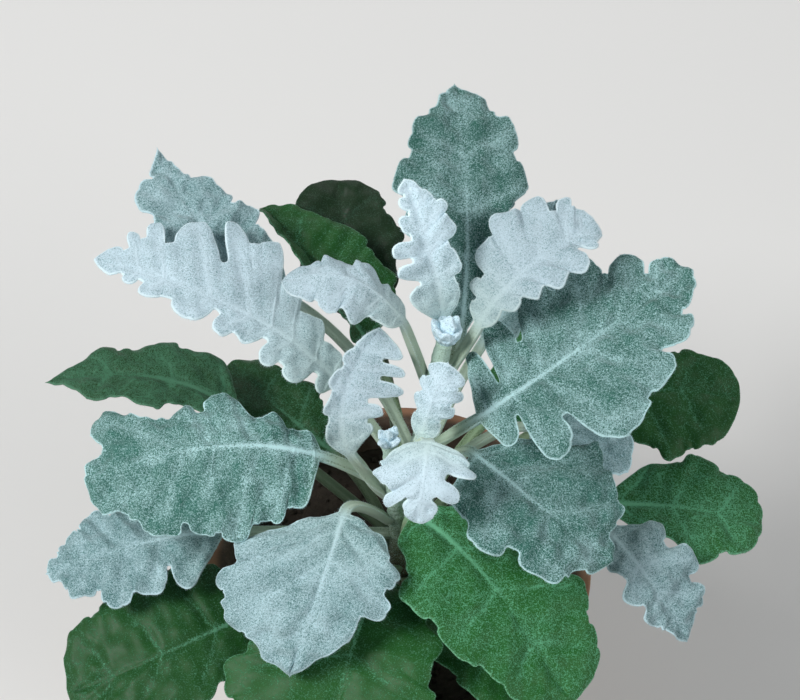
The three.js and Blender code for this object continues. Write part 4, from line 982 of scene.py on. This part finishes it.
def roundedProfile(corners, radii, steps=6):
    corners = [np.array(c, float) for c in corners]
    line = [corners[0]]
    for before, corner, after, radius in zip(corners, corners[1:], corners[2:], radii[1:]):
        a = corner + unit(before - corner) * radius
        b = corner + unit(after - corner) * radius
        line += [curveAt(t, a, corner, b) for t in np.linspace(0, 1, steps)]
    return np.array(line + [corners[-1]])


def potPiece():
    bandFoot = pot["height"] - pot["rimBand"]
    corners = [(0, 0), (pot["baseRadius"], 0), (potRadius(bandFoot), bandFoot),
               (pot["rimRadius"] - 1, bandFoot + 0.5), (pot["rimRadius"], pot["height"]),
               (potRadius(pot["height"], pot["wall"]), pot["height"]),
               (potRadius(pot["floor"], pot["wall"]), pot["floor"]), (0, pot["floor"])]
    body = turned("pot_fired", roundedProfile(corners, pot["rounding"]), pot["around"])
    for i in range(pot["holes"]):
        turn = math.radians(45 + 90 * i)
        x, y = pot["holeCircle"] * math.cos(turn) * mm, pot["holeCircle"] * math.sin(turn) * mm
        bpy.ops.mesh.primitive_cylinder_add(vertices=32, radius=pot["holeRadius"] * mm, depth=0.04,
                                            location=(x, y, 0))
        combine(body, "DIFFERENCE", bpy.context.object)
    bpy.ops.object.select_all(action="DESELECT")
    body.select_set(True)
    bpy.context.view_layer.objects.active = body
    bpy.ops.object.shade_smooth_by_angle(angle=math.radians(35))
    body.select_set(False)
    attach(body, "root")
    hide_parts("pot")
    return body


def clayMaterial():
    material, tree, surface, place = newMaterial("weatheredClay")
    height = heightIn(tree, place)
    colour = tint(tree, noiseOf(tree, place, 0.035, 4), *clayLook["fired"])
    # painted shade: the clay is darkened where it is less than 62 mm from the middle, more the
    # higher it is: the inner wall above the soil and the outer wall up under the rim band
    level = vectorCalc(tree, "MULTIPLY", {0: place, 1: (1, 1, 0)})
    inside = stepOf(tree, vectorCalc(tree, "LENGTH", {0: level}, "Value"), 66, 62)
    paintedShade = calc(tree, "MULTIPLY", inside, stepOf(tree, height, 60, 118))
    colour = tint(tree, paintedShade, colour, clayLook["paintedShade"])
    patches = stepOf(tree, noiseOf(tree, place, 0.06, 5, 0.65), 0.48, 0.72)
    bloom = calc(tree, "MULTIPLY", patches, stepOf(tree, height, 125, 20, (0.15, 0.75)))
    colour = tint(tree, bloom, colour, clayLook["bloom"])
    speck = stepOf(tree, noiseOf(tree, place, 1.3, 2), 0.62, 0.7)
    colour = tint(tree, calc(tree, "MULTIPLY", speck, 0.35), colour, clayLook["specks"])
    coat(tree, surface, colour, 0.9, noiseOf(tree, place, 1.1, 5, 0.7), 0.35, 0.0005)
    return material


potPiece().data.materials.append(clayMaterial())
print("pot turned")

# ---- soil ----
soil = {"relief": 1.6, "grain": 0.7, "gap": 0.4, "rings": 70, "around": 180, "crumbs": 420,
        "seed": 7, "perlite": 0.06}
soilLook = {"earth": ((0.012, 0.009, 0.007), (0.07, 0.05, 0.035)), "perlite": (0.62, 0.60, 0.55)}


def soilPiece():
    foot = pot["floor"] + soil["gap"]
    low, rim = (potRadius(z, pot["wall"]) - soil["gap"] for z in (pot["floor"], soilTop))
    profile = [(0, foot), (low - 1, foot), (low, foot + 1), (rim, soilTop - 2)]
    profile += [(rim * (1 - i / soil["rings"]), soilTop) for i in range(soil["rings"] + 1)]
    body = turned("soil_crumbly", profile, soil["around"])
    place = np.empty(len(body.data.vertices) * 3)
    body.data.vertices.foreach_get("co", place)
    place = place.reshape(-1, 3) * 1000
    x, y = place[:, 0], place[:, 1]
    humps = np.sin(x / 9 + 1) * np.cos(y / 11) + np.sin((x + y) / 6) / 2
    fine = [noise.fractal(Vector((a * 0.25, b * 0.25, 3)), 0.8, 2, 4) for a, b in zip(x, y)]
    onTop = place[:, 2] > soilTop - 0.5
    level = ease((np.hypot(x, y) - 8) / 8)
    rise = soil["relief"] / 2 * humps * level + soil["grain"] * np.clip(np.array(fine), -1, 1)
    place[:, 2] += onTop * rise
    body.data.vertices.foreach_set("co", (place * mm).ravel())
    rng = np.random.default_rng(soil["seed"])
    bpy.ops.mesh.primitive_ico_sphere_add(subdivisions=1, radius=mm)
    crumb = bpy.context.object
    crumb.select_set(False)
    made = []
    for i in range(soil["crumbs"]):
        copy = link(crumb.copy())
        copy.data = crumb.data.copy()
        turn, reach = rng.uniform(0, 2 * np.pi), (rim - 3) * math.sqrt(rng.uniform(0.02, 1))
        size = rng.uniform(0.6, 1.9) * rng.uniform(0.7, 1.3, 3)
        spot = np.array([reach * math.cos(turn), reach * math.sin(turn)])
        near = np.argmin(np.where(onTop, np.hypot(x - spot[0], y - spot[1]), 1e9))
        ball = np.array([v.co for v in copy.data.vertices]) * 1000 * size
        ball *= rng.uniform(0.75, 1.2, (len(ball), 1))
        ball += (*spot, place[near, 2] + 0.2)
        copy.data.vertices.foreach_set("co", (ball * mm).ravel())
        paint(copy.data, {"perlite": float(rng.uniform() < soil["perlite"])})
        made.append(copy)
    bpy.data.objects.remove(crumb)
    joined([body] + made)
    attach(body, "root")
    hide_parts("soil")
    return body


def soilMaterial():
    material, tree, surface, place = newMaterial("dampSoil")
    colour = tint(tree, noiseOf(tree, place, 0.35, 5, 0.7), *soilLook["earth"])
    colour = tint(tree, paintedOn(tree, "perlite"), colour, soilLook["perlite"])
    coat(tree, surface, colour, 0.95, noiseOf(tree, place, 1.2, 4), 0.8, 0.0008)
    return material


soilPiece().data.materials.append(soilMaterial())
print("soil filled")

# ---- floor, light and camera ----
view = {"elevation": 52, "aim": (0.5, 30, 204), "distance": 800, "lens": 108}
lights = {  # metres and watts
    "keyLight": {"place": (-1.5, -0.5, 1.9), "size": 1.0, "power": 50},
    "fillLight": {"place": (1.4, -0.9, 1.3), "size": 1.2, "power": 14},
    "backLight": {"place": (0.2, 1.1, 1.0), "size": 0.9, "power": 4},
}
lightAim = (0, 0.03, 0.2)
sky = {"colour": (0.85, 0.92, 1.0, 1), "strength": 0.2}


def setFloor():
    bpy.ops.mesh.primitive_plane_add(size=6)
    floor = bpy.context.object
    floor.name = "floor"
    floor.select_set(False)
    material, tree, surface, _ = newMaterial("paleFloor")
    feed(tree, surface, {"Base Color": (0.72, 0.71, 0.69, 1), "Roughness": 0.7})
    floor.data.materials.append(material)


def setLight(name, place, size, power):
    data = bpy.data.lights.new(name, "AREA")
    data.shape, data.size, data.energy = "DISK", size, power
    light = link(bpy.data.objects.new(name, data))
    light.location = place
    light.rotation_euler = (Vector(lightAim) - Vector(place)).to_track_quat("-Z", "Y").to_euler()


def setCamera():
    tilt = math.radians(view["elevation"])
    data = bpy.data.cameras.new("camera")
    data.lens, data.sensor_width, data.sensor_fit = view["lens"], 36, "HORIZONTAL"
    camera = link(bpy.data.objects.new("camera", data))
    away = Vector((0, -math.cos(tilt), math.sin(tilt))) * view["distance"]
    camera.location = (Vector(view["aim"]) + away) * mm
    camera.rotation_euler = (math.pi / 2 - tilt, 0, 0)
    bpy.context.scene.camera = camera


def setWorld():
    world = bpy.data.worlds.new("studio")
    bpy.context.scene.world = world
    world.use_nodes = True
    background = world.node_tree.nodes["Background"]
    background.inputs[0].default_value = sky["colour"]
    background.inputs[1].default_value = sky["strength"]
    bpy.context.scene.view_settings.view_transform = "Standard"


setFloor()
for name, light in lights.items():
    setLight(name, **light)
setCamera()
setWorld()
print("stage set")

bpy.context.view_layer.update()
